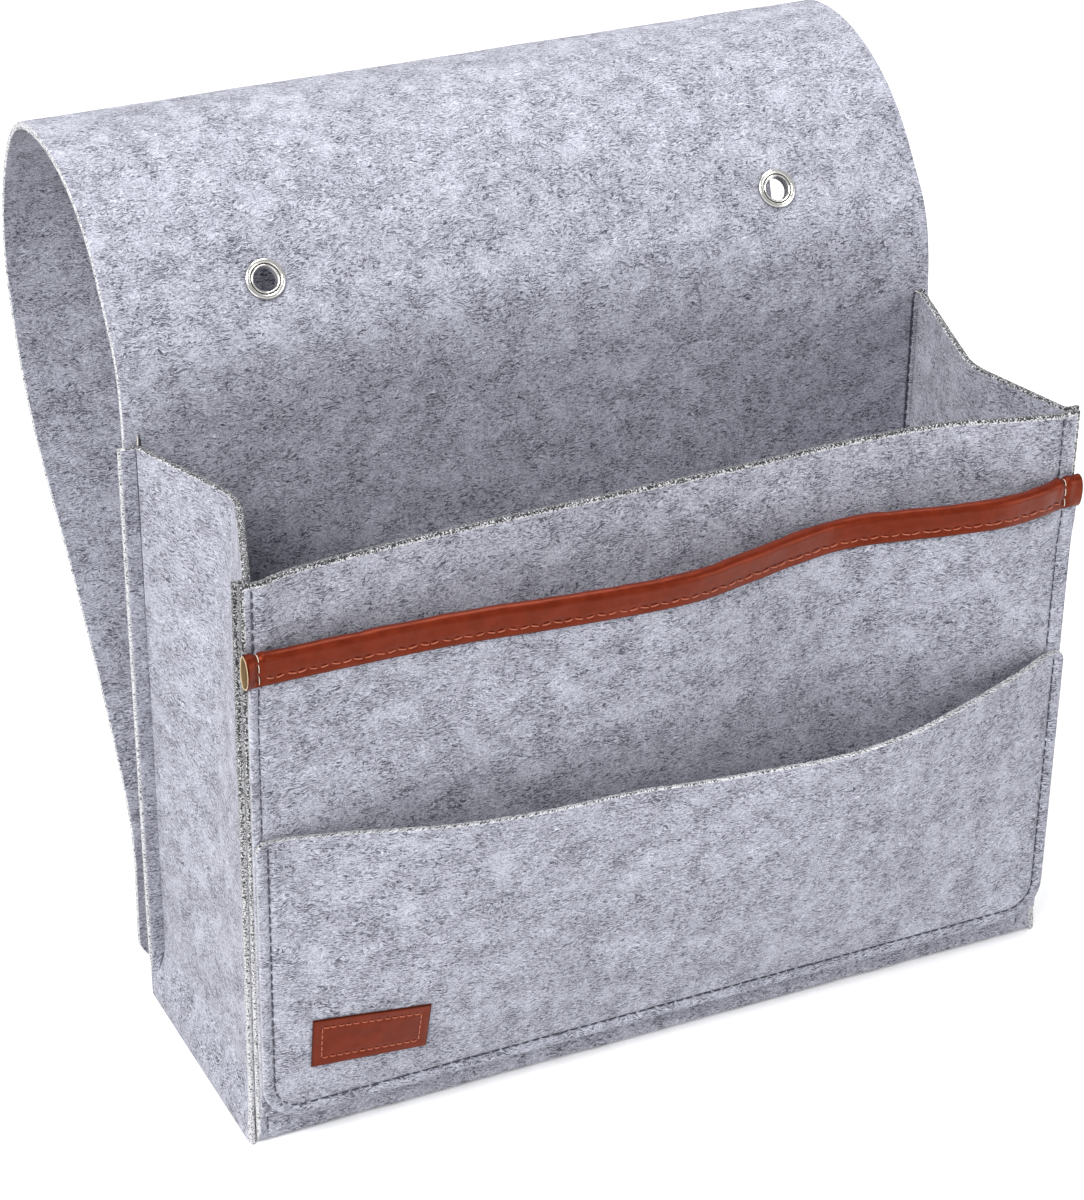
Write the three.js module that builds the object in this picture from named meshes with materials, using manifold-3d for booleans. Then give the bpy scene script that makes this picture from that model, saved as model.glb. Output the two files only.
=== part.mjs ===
// Bedside caddy sewn from grey felt, with a leather-bound pocket and a long flap
// that curls over behind it. Millimetres, +Z up, +X to the right, +Y to the back.
// The origin is the middle of the underside.
import * as THREE from 'three';
import Module from 'manifold-3d';
import { mergeVertices } from 'three/addons/utils/BufferGeometryUtils.js';

const wasm = await Module();
wasm.setup();

// Cloth, leather and the room left between layers that are sewn together
const felt = 2.6;
const leather = 1;
const seat = 0.3;

// Box: one strip of felt makes the front, the bottom, the back and the flap
const stripWidth = 319;
const boxDepth = 106;
const frontHeight = 223;
const backHeight = 225;
const backLean = 4.3;
const foldRadius = 2.7;
const frontBow = 12;
const sideTwist = 3.4;
const sideRise = 2.2;

// Gussets: the sides, with their seam allowances turned outwards
const flangeStandOut = 1.6;
const frontFlangeWidth = 5.2;
const backFlangeWidth = 8.5;
const flangeRound = 2.5;
const flareHeight = 20;
const gussetLift = 0.4;
const apexRound = 9;
const leftCaveIn = 13.6;
const rightCaveIn = 10;
const gussetShapes = {
  left: { side: -1, caveIn: leftCaveIn, apexShare: 0.55 },
  right: { side: 1, caveIn: rightCaveIn, apexShare: 0.47 },
};

// Middle pocket and its leather binding
const pocketInset = 0.5;
const pocketFoot = 13.4;
const pocketSeamHeight = 18;
const middleMouthHeight = 196.6;
const mouthBulge = 8;
const bindingWidth = 10;
const bindingStandOut = 1.2;
const settleHeight = 18;

// Lower pocket
const lowerPocketFoot = 12.8;
const lowerMouthHeight = 128;
const lowerBulge = 26.6;
const lowerCornerRadius = 15;
const mouthCornerRadius = 3.5;

// Leather patch on the lower pocket
const patchWidth = 42.5;
const patchHeight = 19.5;
const patchInset = 39.5;
const patchRise = 42;
const patchTilt = -2.5;

// Eyelets in the flap, above the box
const eyeletSpread = 201;
const eyeletAlong = 49;
const eyeletFlat = 19;
const eyeletRadius = 7.4;
const eyeletBore = 4.5;
const eyeletWall = 0.6;
const eyeletCrown = 1.3;
const lipRadius = 6.4;
const lipDepth = 0.9;
const washerRadius = 7.2;
const washerThickness = 0.6;

// Flap: its curl beyond the eyelets, cut where the bending bodies meet
const curlLength = 443;
const flapCornerRadius = 13;
const cutOverrun = 2;

// Turns of the flap in degrees, and the lengths that they take up
const riseShares = [[0.55, -10.5], [0.45, -22.5]];
const curlShares = [
  [0.089, -32], [0.099, -33], [0.06, -47.5], [0.08, -24], [0.063, -22.5],
  [0.183, -31], [0.247, 12.5], [0.09, 32.5], [0.089, 0],
];
const hingeShares = [0.1, 0.235, 0.37, 0.55, 0.82];
const reverseHinges = 1;

// Across the front: how much of its bow each place has, from the left to the right
const frontBowShares = [
  [-0.956, 0], [-0.92, 0.17], [-0.853, 0.37], [-0.6, 0.62], [-0.3, 0.76], [0.2, 0.87],
  [0.4, 1], [0.6, 0.97], [0.72, 0.81], [0.815, 0.42], [0.915, 0.09], [0.956, 0],
];
// Middle pocket's mouth: outward bulges, and the tuck into the front's bow
const mouthBulgeShares = [
  [-0.956, 0], [-0.8, 0], [-0.545, 0.14], [-0.31, 0.66], [-0.1, 1], [0.02, 0.94], [0.145, 0.38],
  [0.25, 0], [0.58, 0], [0.665, 0.25], [0.78, 0.56], [0.89, 0.31], [0.956, 0],
];
const mouthTuckShares = [[0.18, 0], [0.27, 0.14], [0.38, 0.37], [0.48, 0.3], [0.57, 0.08], [0.64, 0]];
// Lower pocket's mouth
const lowerBulgeShares = [
  [-0.968, 0], [-0.9, 0.06], [-0.8, 0.21], [-0.62, 0.51], [-0.495, 0.64], [-0.36, 0.715],
  [-0.175, 0.75], [-0.04, 0.85], [0.1, 0.925], [0.27, 1], [0.37, 1], [0.51, 0.9], [0.63, 0.715],
  [0.77, 0.45], [0.88, 0.2], [0.965, 0],
];
const bowRiseShare = 1.5;
const caveFadeShare = 1.3;
// Along a gusset's foot, where it lies flat: shares of its length up to each fold
const footFoldShares = [0, 0.045, 0.085];
const footApexShare = 0.075;
const mouthOpenShare = 1.6;
const bellyShare = 0.75;

// Sampling of the sheets
const acrossShares = [
  -1, -0.956, -0.92, -0.853, -0.7, -0.5, -0.25, 0, 0.2, 0.4, 0.6, 0.72, 0.815, 0.915, 0.956, 1,
];
const pocketShares = [
  -1, -0.956, -0.9, -0.8, -0.68, -0.545, -0.42, -0.31, -0.2, -0.1, 0.02, 0.145, 0.25, 0.38, 0.48,
  0.58, 0.665, 0.78, 0.89, 0.956, 1,
];
const frontRowShares = [0, 0.1, 0.21, 0.33, 0.46, 0.6, 0.74, 0.87, 0.95];
const slopeShare = 1e-4;
const foldSteps = 4;
const stretchSteps = 8;
const roundMouthSteps = 3;
const roundSteps = 28;

const halfStrip = stripWidth / 2;
const pocketWidth = stripWidth - 2 * pocketInset;
const halfFelt = felt / 2;
const frontFace = -boxDepth / 2;
const holeRadius = eyeletBore + eyeletWall + seat;

const feltMaterial = new THREE.MeshStandardMaterial({ color: 0xb6b8c6, roughness: 0.95, metalness: 0 });
const leatherMaterial = new THREE.MeshStandardMaterial({ color: 0x8c3a23, roughness: 0.45, metalness: 0 });
const nickelMaterial = new THREE.MeshStandardMaterial({ color: 0xc9c8c4, roughness: 0.25, metalness: 1 });

const clamp01 = (value) => Math.min(1, Math.max(0, value));
const ease = (value) => THREE.MathUtils.smoothstep(value, 0, 1);
const radians = THREE.MathUtils.degToRad;

// Smooth curve through a table of [place, value] shares, level outside its ends
function alongTable(shares, place) {
  const last = shares.length - 1;
  if (place <= shares[0][0]) return shares[0][1];
  if (place >= shares[last][0]) return shares[last][1];
  const right = shares.findIndex((entry) => entry[0] > place);
  const slopeAt = (index) => {
    if (index <= 0 || index >= last) return 0;
    const before = shares[index - 1];
    const after = shares[index + 1];
    return (after[1] - before[1]) / (after[0] - before[0]);
  };
  const [startPlace, startValue] = shares[right - 1];
  const [endPlace, endValue] = shares[right];
  const span = endPlace - startPlace;
  const t = (place - startPlace) / span;
  const blend = t * t * (3 - 2 * t);
  const startSwing = t * (1 - t) * (1 - t) * span * slopeAt(right - 1);
  const endSwing = t * t * (t - 1) * span * slopeAt(right);
  return startValue + (endValue - startValue) * blend + startSwing + endSwing;
}

// Closed sheet: point(u, v) gives its middle surface, us and vs are the places sampled
function sheetGeometry(point, us, vs, thickness) {
  const positions = [];
  const normalAt = (u, v) => {
    const uStep = (us[us.length - 1] - us[0]) * slopeShare;
    const vStep = (vs[vs.length - 1] - vs[0]) * slopeShare;
    const alongU = point(u + uStep, v).sub(point(u - uStep, v));
    const alongV = point(u, v + vStep).sub(point(u, v - vStep));
    return alongU.cross(alongV).normalize();
  };
  for (const face of [1, -1]) {
    for (const v of vs) {
      for (const u of us) {
        const place = point(u, v).addScaledVector(normalAt(u, v), face * thickness / 2);
        positions.push(place.x, place.y, place.z);
      }
    }
  }
  const columns = us.length;
  const rows = vs.length;
  const index = [];
  const corner = (face, row, column) => (face * rows + row) * columns + column;
  const quad = (a, b, c, d) => index.push(a, b, c, a, c, d);
  for (let row = 0; row < rows - 1; row += 1) {
    for (let column = 0; column < columns - 1; column += 1) {
      const next = column + 1;
      quad(corner(0, row, column), corner(0, row, next), corner(0, row + 1, next), corner(0, row + 1, column));
      quad(corner(1, row, column), corner(1, row + 1, column), corner(1, row + 1, next), corner(1, row, next));
    }
    const end = columns - 1;
    quad(corner(0, row, 0), corner(0, row + 1, 0), corner(1, row + 1, 0), corner(1, row, 0));
    quad(corner(0, row, end), corner(1, row, end), corner(1, row + 1, end), corner(0, row + 1, end));
  }
  for (let column = 0; column < columns - 1; column += 1) {
    const next = column + 1;
    const end = rows - 1;
    quad(corner(0, 0, column), corner(1, 0, column), corner(1, 0, next), corner(0, 0, next));
    quad(corner(0, end, column), corner(0, end, next), corner(1, end, next), corner(1, end, column));
  }
  if (signedVolume(positions, index) < 0) {
    for (let start = 0; start < index.length; start += 3) {
      [index[start], index[start + 1]] = [index[start + 1], index[start]];
    }
  }
  const geometry = new THREE.BufferGeometry();
  geometry.setAttribute('position', new THREE.Float32BufferAttribute(positions, 3));
  geometry.setIndex(index);
  return geometry;
}

function signedVolume(positions, index) {
  const corners = [new THREE.Vector3(), new THREE.Vector3(), new THREE.Vector3()];
  let sum = 0;
  for (let start = 0; start < index.length; start += 3) {
    corners.forEach((place, turn) => place.fromArray(positions, index[start + turn] * 3));
    sum += corners[0].dot(corners[1].cross(corners[2]));
  }
  return sum;
}

function toSolid(geometry) {
  const bare = geometry.clone();
  bare.deleteAttribute('normal');
  bare.deleteAttribute('uv');
  const merged = mergeVertices(bare);
  const vertProperties = new Float32Array(merged.attributes.position.array);
  const triVerts = new Uint32Array(merged.index.array);
  return new wasm.Manifold(new wasm.Mesh({ numProp: 3, vertProperties, triVerts }));
}

function toGeometry(solid) {
  const { vertProperties, triVerts } = solid.getMesh();
  const geometry = new THREE.BufferGeometry();
  geometry.setAttribute('position', new THREE.Float32BufferAttribute(vertProperties, 3));
  geometry.setIndex(Array.from(triVerts));
  return geometry;
}

// Side profile of the strip: arcs of [length, turn in degrees] from the front's top edge
const leanAngle = Math.atan2(backLean, backHeight);
const foldHeight = foldRadius + halfFelt;
const foldArc = foldRadius * Math.PI / 2;
const riseLength = eyeletAlong - eyeletFlat / 2;
const frontLength = frontHeight - foldHeight;
const bottomLength = boxDepth - foldHeight - foldHeight;
const backLength = (backHeight - foldHeight) / Math.cos(leanAngle);
const boxArcs = [
  [frontLength, 0],
  [foldArc, 90],
  [bottomLength, 0],
  [foldArc, 90 - THREE.MathUtils.radToDeg(leanAngle)],
  [backLength, 0],
];
const stripArcs = [
  ...boxArcs,
  ...riseShares.map(([share, turn]) => [share * riseLength, turn]),
  [eyeletFlat, 0],
  ...curlShares.map(([share, turn]) => [share * curlLength, turn]),
];
const boxTop = boxArcs.reduce((sum, [length]) => sum + length, 0);
const curlStart = boxTop + riseLength + eyeletFlat;
const flapEnd = curlStart + curlLength;

// Middle of the felt in side view, and its heading, at a distance along the strip.
// Past the flap's end it runs straight on.
function profileAt(distance) {
  let y = frontFace + halfFelt;
  let z = frontHeight;
  let heading = -Math.PI / 2;
  let left = distance;
  for (const [length, turn] of stripArcs) {
    const walked = Math.min(left, length);
    const bend = radians(turn) * walked / length;
    const chord = bend === 0 ? walked : walked * Math.sin(bend / 2) / (bend / 2);
    y += chord * Math.cos(heading + bend / 2);
    z += chord * Math.sin(heading + bend / 2);
    heading += bend;
    left -= walked;
    if (left <= 0) return { y, z, heading };
  }
  return { y: y + left * Math.cos(heading), z: z + left * Math.sin(heading), heading };
}

// The back and the flap stand a little further back on the left than on the right, where
// the flap also rises a little higher
const twistAt = (z) => sideTwist * clamp01((z - foldHeight) / (backHeight - foldHeight));
const backStart = frontLength + foldArc + bottomLength;

function stripPoint(across, distance) {
  const { y, z } = profileAt(distance);
  const place = new THREE.Vector3(across * halfStrip, y, z);
  if (distance < frontLength) {
    const rise = clamp01((z - foldHeight) / frontLength);
    place.y += frontBow * alongTable(frontBowShares, across) * rise ** bowRiseShare;
  } else if (distance > boxTop) {
    place.y -= sideTwist * across;
    place.z += sideRise * across * ease((distance - boxTop) / riseLength);
  } else if (distance > backStart) {
    place.y -= twistAt(z) * across;
  }
  return place;
}

const backMiddleAt = (x, z) => {
  const rise = (z - foldHeight) / (backHeight - foldHeight);
  return boxDepth / 2 - halfFelt + backLean * clamp01(rise) - twistAt(z) * x / halfStrip;
};

// Evenly spaced places from one distance to another, the last left out
function spread(from, to, count) {
  return Array.from({ length: count }, (_, step) => from + (to - from) * step / count);
}

// Hinge lines of the flap, as distances along the strip
const hingeAlong = hingeShares.map((share) => curlStart + share * curlLength);

function boxStrip() {
  const bottomStart = frontLength + foldArc;
  const rows = [
    ...frontRowShares.map((share) => share * frontLength),
    ...spread(frontLength, bottomStart, foldSteps),
    ...spread(bottomStart, backStart, 3),
    ...spread(backStart, backStart + foldArc, foldSteps),
    ...spread(backStart + foldArc, boxTop, 3),
    ...spread(boxTop, boxTop + riseLength, 5),
    ...spread(boxTop + riseLength, curlStart, 2),
    ...spread(curlStart, hingeAlong[0] - seat / 2, 4),
    hingeAlong[0] - seat / 2,
  ];
  let solid = toSolid(sheetGeometry(stripPoint, acrossShares, rows, felt));
  for (const side of [-1, 1]) {
    const punch = new THREE.CylinderGeometry(holeRadius, holeRadius, felt + 2 * cutOverrun, roundSteps);
    punch.applyMatrix4(eyeletFrame(side));
    solid = solid.subtract(toSolid(punch));
  }
  return toGeometry(solid);
}

// One bending stretch of the flap, between two hinge lines or to the flap's end
function flapStretch(from, to, isEnd) {
  const start = from + seat / 2;
  const end = isEnd ? to : to - seat / 2;
  const rows = [...spread(start, isEnd ? end - flapCornerRadius : end, stretchSteps)];
  if (isEnd) {
    for (let step = 0; step < foldSteps; step += 1) {
      rows.push(end - flapCornerRadius * (1 - Math.sin(step / foldSteps * Math.PI / 2)));
    }
  }
  rows.push(end);
  const narrowing = (distance) => {
    const into = isEnd ? Math.min(flapCornerRadius, distance - end + flapCornerRadius) : 0;
    if (into <= 0) return 0;
    return flapCornerRadius - Math.sqrt(Math.max(0, flapCornerRadius ** 2 - into ** 2));
  };
  const point = (across, distance) => (
    stripPoint(across * (1 - narrowing(distance) / halfStrip), distance)
  );
  return sheetGeometry(point, [-1, 0, 1], rows, felt);
}

// Plan of a gusset at one height: a flange, a corner, the wall caved in to a rounded V,
// and the same again at the back. place counts these stretches, of which some are bends.
// Towards its foot the gusset flattens out over the bottom's edge.
const bendStretches = [1, 3, 5];
const stretchCount = 7;

function gussetPoint(shape, place, z) {
  const tip = halfStrip + flangeStandOut;
  const crease = tip - backFlangeWidth;
  const front = frontFace + felt + seat + halfFelt;
  const backAt = (x) => backMiddleAt(shape.side * x, z) - felt - seat;
  const cave = shape.caveIn * clamp01(z / frontHeight) ** caveFadeShare;
  const apex = new THREE.Vector2(crease - cave, front + (backAt(crease) - front) * shape.apexShare);
  const frontCrease = new THREE.Vector2(tip - frontFlangeWidth, front);
  const backCrease = new THREE.Vector2(crease, backAt(crease));
  const frontTip = new THREE.Vector2(tip, front);
  const backTip = new THREE.Vector2(tip, backAt(tip));
  const reach = (from, towards, distance) => (
    towards.clone().sub(from).setLength(distance).add(from)
  );
  const stops = [
    frontTip,
    reach(frontCrease, frontTip, flangeRound),
    reach(frontCrease, apex, flangeRound),
    reach(apex, frontCrease, apexRound),
    reach(apex, backCrease, apexRound),
    reach(backCrease, apex, flangeRound),
    reach(backCrease, backTip, flangeRound),
    backTip,
  ];
  const stretch = Math.min(stretchCount - 1, Math.max(0, Math.floor(place)));
  const bendCorner = [frontCrease, apex, backCrease][bendStretches.indexOf(stretch)];
  const t = place - stretch;
  const from = stops[stretch];
  const to = stops[stretch + 1];
  let plan = from.clone().lerp(to, t);
  if (bendCorner) {
    const first = from.clone().lerp(bendCorner, t);
    const second = bendCorner.clone().lerp(to, t);
    plan = first.lerp(second, t);
  }
  const fore = [...footFoldShares, shape.apexShare - footApexShare];
  const aft = [...footFoldShares, 1 - shape.apexShare - footApexShare].map((share) => 1 - share);
  const shares = [...fore, ...aft.reverse()];
  const share = shares[stretch] + (shares[stretch + 1] - shares[stretch]) * t;
  const foot = new THREE.Vector2(halfStrip + seat + halfFelt, front + (backAt(tip) - front) * share);
  plan.lerp(foot, ease((flareHeight - z) / (flareHeight - felt - seat)));
  return new THREE.Vector3(shape.side * plan.x, plan.y, z);
}

function gusset(shape) {
  const bends = bendStretches.flatMap((bend) => [...spread(bend, bend + 1, foldSteps), bend + 1]);
  const places = [0, ...bends, stretchCount];
  const heights = [
    gussetLift,
    ...spread(felt + seat, flareHeight, 6),
    ...spread(flareHeight, frontHeight, 5),
    frontHeight,
  ];
  return sheetGeometry((place, z) => gussetPoint(shape, place, z), places, heights, felt);
}

// Height of the binding's lower edge, below which the pocket eases onto the front
const bindingFoot = middleMouthHeight - bindingWidth;
const easeStart = bindingFoot - settleHeight;

// Middle pocket: sewn at its sides and foot, with a mouth that bulges and tucks in.
// Under the binding it stands off the front by the leather's thickness.
function middlePocketPoint(x, z) {
  const across = x / halfStrip;
  const rise = clamp01((z - pocketSeamHeight) / (middleMouthHeight - pocketSeamHeight));
  const bulge = mouthBulge * alongTable(mouthBulgeShares, across);
  const tuck = frontBow * alongTable(mouthTuckShares, across);
  const standOff = (leather + seat) * ease((z - easeStart) / settleHeight);
  const y = frontFace - seat - halfFelt - standOff + (tuck - bulge) * rise ** mouthOpenShare;
  return new THREE.Vector3(x, y, z);
}

function middlePocket() {
  const rows = [pocketFoot, pocketSeamHeight];
  rows.push(...spread(pocketSeamHeight, easeStart, 5).slice(1));
  rows.push(...spread(easeStart, bindingFoot, 3));
  rows.push(...spread(bindingFoot, middleMouthHeight, 2), middleMouthHeight);
  const point = (across, z) => middlePocketPoint(across * pocketWidth / 2, z);
  return sheetGeometry(point, pocketShares, rows, felt);
}

// Leather folded over the pocket's mouth: up its back, over the top and down its front
function pocketBinding() {
  const wrapRadius = halfFelt + seat + leather / 2;
  const wrapLength = Math.PI * wrapRadius;
  const point = (x, walked) => {
    const past = walked - bindingWidth;
    const isWrap = past > 0 && past < wrapLength;
    const angle = clamp01(past / wrapLength) * Math.PI;
    const drop = past <= 0 ? -past : Math.max(0, past - wrapLength);
    const z = middleMouthHeight - drop;
    const base = middlePocketPoint(x, Math.min(z, middleMouthHeight));
    const lean = middlePocketPoint(x, middleMouthHeight).sub(middlePocketPoint(x, bindingFoot));
    const up = lean.setX(0).normalize();
    const back = new THREE.Vector3(0, up.z, -up.y);
    base.addScaledVector(back, wrapRadius * Math.cos(angle));
    if (isWrap) base.addScaledVector(up, wrapRadius * Math.sin(angle));
    return base;
  };
  const turns = spread(bindingWidth, bindingWidth + wrapLength, 6);
  const along = [0, bindingWidth / 2, ...turns, bindingWidth + wrapLength];
  along.push(bindingWidth * 3 / 2 + wrapLength, bindingWidth * 2 + wrapLength);
  const end = halfStrip + bindingStandOut;
  const places = [-end, ...pocketShares.map((share) => share * pocketWidth / 2), end];
  return sheetGeometry(point, places, along, leather);
}

// Lower pocket: flat on the seam at its rim, with a full belly and an open mouth
function lowerPocketPoint(x, z) {
  const across = x / halfStrip;
  const open = lowerMouthHeight - pocketSeamHeight;
  const rise = clamp01((z - pocketSeamHeight) / open);
  const belly = bellyShare * Math.sin(rise * Math.PI / 2) + (1 - bellyShare) * rise;
  const bulge = lowerBulge * alongTable(lowerBulgeShares, across);
  const drop = 1 - Math.sqrt(1 - (bulge / open) ** 2);
  const y = frontFace - seat - felt - seat - halfFelt - bulge * belly;
  return new THREE.Vector3(x, y, z - rise * open * drop);
}

// How far a rounded corner lies inside the straight edge, past where its round begins
const cornerInset = (radius, past) => radius - Math.sqrt(Math.max(0, radius ** 2 - past ** 2));

function lowerPocket() {
  const halfPocket = pocketWidth / 2;
  const point = (across, z) => {
    const below = Math.max(0, lowerPocketFoot + lowerCornerRadius - z);
    const above = Math.max(0, z - lowerMouthHeight + mouthCornerRadius);
    const drawnIn = cornerInset(lowerCornerRadius, below) + cornerInset(mouthCornerRadius, above);
    return lowerPocketPoint(across * (halfPocket - drawnIn), z);
  };
  const rows = [];
  for (let step = 0; step < foldSteps; step += 1) {
    const angle = step / foldSteps * Math.PI / 2;
    rows.push(lowerPocketFoot + lowerCornerRadius * (1 - Math.cos(angle)));
  }
  rows.push(...spread(lowerPocketFoot + lowerCornerRadius, lowerMouthHeight - mouthCornerRadius, 7));
  for (let step = 0; step <= roundMouthSteps; step += 1) {
    const angle = step / roundMouthSteps * Math.PI / 2;
    rows.push(lowerMouthHeight - mouthCornerRadius * (1 - Math.sin(angle)));
  }
  return sheetGeometry(point, pocketShares, rows, felt);
}

function labelPatch() {
  const lead = halfFelt + seat + leather / 2;
  const step = patchWidth * slopeShare;
  const point = (across, up) => {
    const turned = new THREE.Vector2(across, up).rotateAround(new THREE.Vector2(), radians(patchTilt));
    const x = -halfStrip + patchInset + turned.x;
    const z = patchRise + turned.y;
    const alongX = lowerPocketPoint(x + step, z).sub(lowerPocketPoint(x - step, z));
    const alongZ = lowerPocketPoint(x, z + step).sub(lowerPocketPoint(x, z - step));
    const outward = alongX.cross(alongZ).normalize();
    return lowerPocketPoint(x, z).addScaledVector(outward, lead);
  };
  const us = [...spread(-patchWidth / 2, patchWidth / 2, 6), patchWidth / 2];
  const vs = [...spread(-patchHeight / 2, patchHeight / 2, 3), patchHeight / 2];
  return sheetGeometry(point, us, vs, leather);
}

// Place and turn of an eyelet: its axis points out of the flap's front
function eyeletFrame(side) {
  const along = boxTop + eyeletAlong;
  const { heading } = profileAt(along);
  const acrossAxis = new THREE.Vector3(halfStrip, -sideTwist, sideRise).normalize();
  const alongAxis = new THREE.Vector3(0, Math.cos(heading), Math.sin(heading));
  const outAxis = new THREE.Vector3().crossVectors(acrossAxis, alongAxis).normalize();
  const downAxis = new THREE.Vector3().crossVectors(acrossAxis, outAxis);
  const place = stripPoint(side * eyeletSpread / stripWidth, along);
  return new THREE.Matrix4().makeBasis(acrossAxis, outAxis, downAxis).setPosition(place);
}

// Eyelet: a domed rim on the front, a barrel through the felt and a lip rolled over behind
function eyelet() {
  const rimFoot = halfFelt + seat;
  const lipFoot = -halfFelt - seat - washerThickness - seat;
  const barrel = eyeletBore + eyeletWall;
  const rimMiddle = (eyeletBore + eyeletRadius) / 2;
  const outline = [[eyeletBore, lipFoot - lipDepth / 2], [eyeletBore, rimFoot]];
  for (let step = 1; step < foldSteps * 2; step += 1) {
    const angle = Math.PI - step / (foldSteps * 2) * Math.PI;
    const reach = (eyeletRadius - eyeletBore) / 2;
    outline.push([rimMiddle + reach * Math.cos(angle), rimFoot + eyeletCrown * Math.sin(angle)]);
  }
  outline.push([eyeletRadius, rimFoot], [barrel, rimFoot], [barrel, lipFoot], [lipRadius, lipFoot]);
  outline.push([lipRadius - lipDepth / 2, lipFoot - lipDepth], [barrel, lipFoot - lipDepth]);
  outline.push([eyeletBore, lipFoot - lipDepth / 2]);
  return lathe(outline);
}

function washer() {
  const face = -halfFelt - seat;
  const inner = holeRadius;
  return lathe([
    [inner, face - washerThickness], [washerRadius - washerThickness, face - washerThickness],
    [washerRadius, face], [inner, face], [inner, face - washerThickness],
  ]);
}

function lathe(outline) {
  const points = outline.map(([radius, height]) => new THREE.Vector2(radius, height));
  const turned = new THREE.LatheGeometry(points, roundSteps);
  turned.deleteAttribute('normal');
  turned.deleteAttribute('uv');
  const geometry = mergeVertices(turned);
  if (signedVolume(geometry.attributes.position.array, geometry.index.array) < 0) {
    geometry.index.array.reverse();
  }
  return geometry;
}

function add(parent, name, geometry, material) {
  const mesh = new THREE.Mesh(geometry, material.clone());
  mesh.name = name;
  parent.add(mesh);
  return mesh;
}

// Assembly
const caddy = new THREE.Group();
add(caddy, 'felt_strip', boxStrip(), feltMaterial);
add(caddy, 'gusset_left', gusset(gussetShapes.left), feltMaterial);
add(caddy, 'gusset_right', gusset(gussetShapes.right), feltMaterial);
add(caddy, 'middle_pocket', middlePocket(), feltMaterial);
add(caddy, 'pocket_binding', pocketBinding(), leatherMaterial);
add(caddy, 'lower_pocket', lowerPocket(), feltMaterial);
add(caddy, 'label_patch', labelPatch(), leatherMaterial);

for (const [name, side] of [['left', -1], ['right', 1]]) {
  const holder = new THREE.Group();
  holder.applyMatrix4(eyeletFrame(side));
  add(holder, `eyelet_${name}`, eyelet(), nickelMaterial);
  add(holder, `eyelet_washer_${name}`, washer(), nickelMaterial);
  caddy.add(holder);
}

// Flap: each stretch hangs from the one before on a hinge line at the outside of the bend
let carrier = caddy;
const carrierPlace = new THREE.Vector3();
hingeAlong.forEach((along, number) => {
  const { y, z, heading } = profileAt(along);
  const isReverse = number >= hingeAlong.length - reverseHinges;
  const outside = isReverse ? halfFelt : -halfFelt;
  const pivot = new THREE.Vector3(0, y + outside * Math.sin(heading), z - outside * Math.cos(heading));
  const hinge = new THREE.Group();
  hinge.position.copy(pivot).sub(carrierPlace);
  carrier.add(hinge);
  const isEnd = number === hingeAlong.length - 1;
  const stretch = flapStretch(along, isEnd ? flapEnd : hingeAlong[number + 1], isEnd);
  stretch.translate(-pivot.x, -pivot.y, -pivot.z);
  add(hinge, `flap_stretch_${number + 1}`, stretch, feltMaterial);
  carrier = hinge;
  carrierPlace.copy(pivot);
});

export default caddy;
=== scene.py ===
"""A felt bedside caddy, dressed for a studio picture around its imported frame.

Sheets of cloth are worked out in millimetres, and turned to metres where meshes are made.
"""
import math

import bpy
import numpy as np
from mathutils import Matrix, Vector


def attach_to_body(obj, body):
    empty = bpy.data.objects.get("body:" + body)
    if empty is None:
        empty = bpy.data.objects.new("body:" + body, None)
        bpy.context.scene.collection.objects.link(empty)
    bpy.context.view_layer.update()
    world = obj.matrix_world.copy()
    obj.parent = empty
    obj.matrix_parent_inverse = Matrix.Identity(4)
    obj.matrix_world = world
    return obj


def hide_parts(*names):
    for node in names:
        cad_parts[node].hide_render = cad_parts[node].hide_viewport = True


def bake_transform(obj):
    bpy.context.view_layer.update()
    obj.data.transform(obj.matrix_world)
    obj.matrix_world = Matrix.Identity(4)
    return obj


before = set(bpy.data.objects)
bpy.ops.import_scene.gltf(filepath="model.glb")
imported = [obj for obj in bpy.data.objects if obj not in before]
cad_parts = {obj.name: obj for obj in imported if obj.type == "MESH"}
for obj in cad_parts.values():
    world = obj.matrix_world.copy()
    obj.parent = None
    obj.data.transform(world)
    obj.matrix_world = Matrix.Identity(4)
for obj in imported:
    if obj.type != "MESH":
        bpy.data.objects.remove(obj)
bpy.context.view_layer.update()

MM = 0.001

# Camera of the photograph
PHOTO_HEIGHT_PX = 1200
FOCAL_PX = 3409.57
SENSOR_MM = 36.0
CAMERA_PLACE = Vector((-0.4925, -0.9521, 0.7467))
CAMERA_AZIMUTH = math.radians(26.08)
CAMERA_DIP = math.radians(28.89)
CAMERA_ROLL = math.radians(-0.925)
CAMERA_CLIP = (0.05, 50.0)


def make_camera():
    data = bpy.data.cameras.new("camera")
    data.sensor_fit = "VERTICAL"
    data.sensor_height = data.sensor_width = SENSOR_MM
    data.lens = FOCAL_PX / PHOTO_HEIGHT_PX * SENSOR_MM
    data.clip_start, data.clip_end = CAMERA_CLIP
    camera = bpy.data.objects.new("camera", data)
    bpy.context.scene.collection.objects.link(camera)
    matrix = Matrix.Translation(CAMERA_PLACE)
    turns = ((-CAMERA_AZIMUTH, "Z"), (math.pi / 2 - CAMERA_DIP, "X"), (-CAMERA_ROLL, "Z"))
    for angle, axis in turns:
        matrix = matrix @ Matrix.Rotation(angle, 4, axis)
    camera.matrix_world = matrix
    bpy.context.scene.camera = camera


make_camera()

# Cloth and leather
FELT = 2.6
LEATHER = 1.0
SEAT = 0.3

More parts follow.
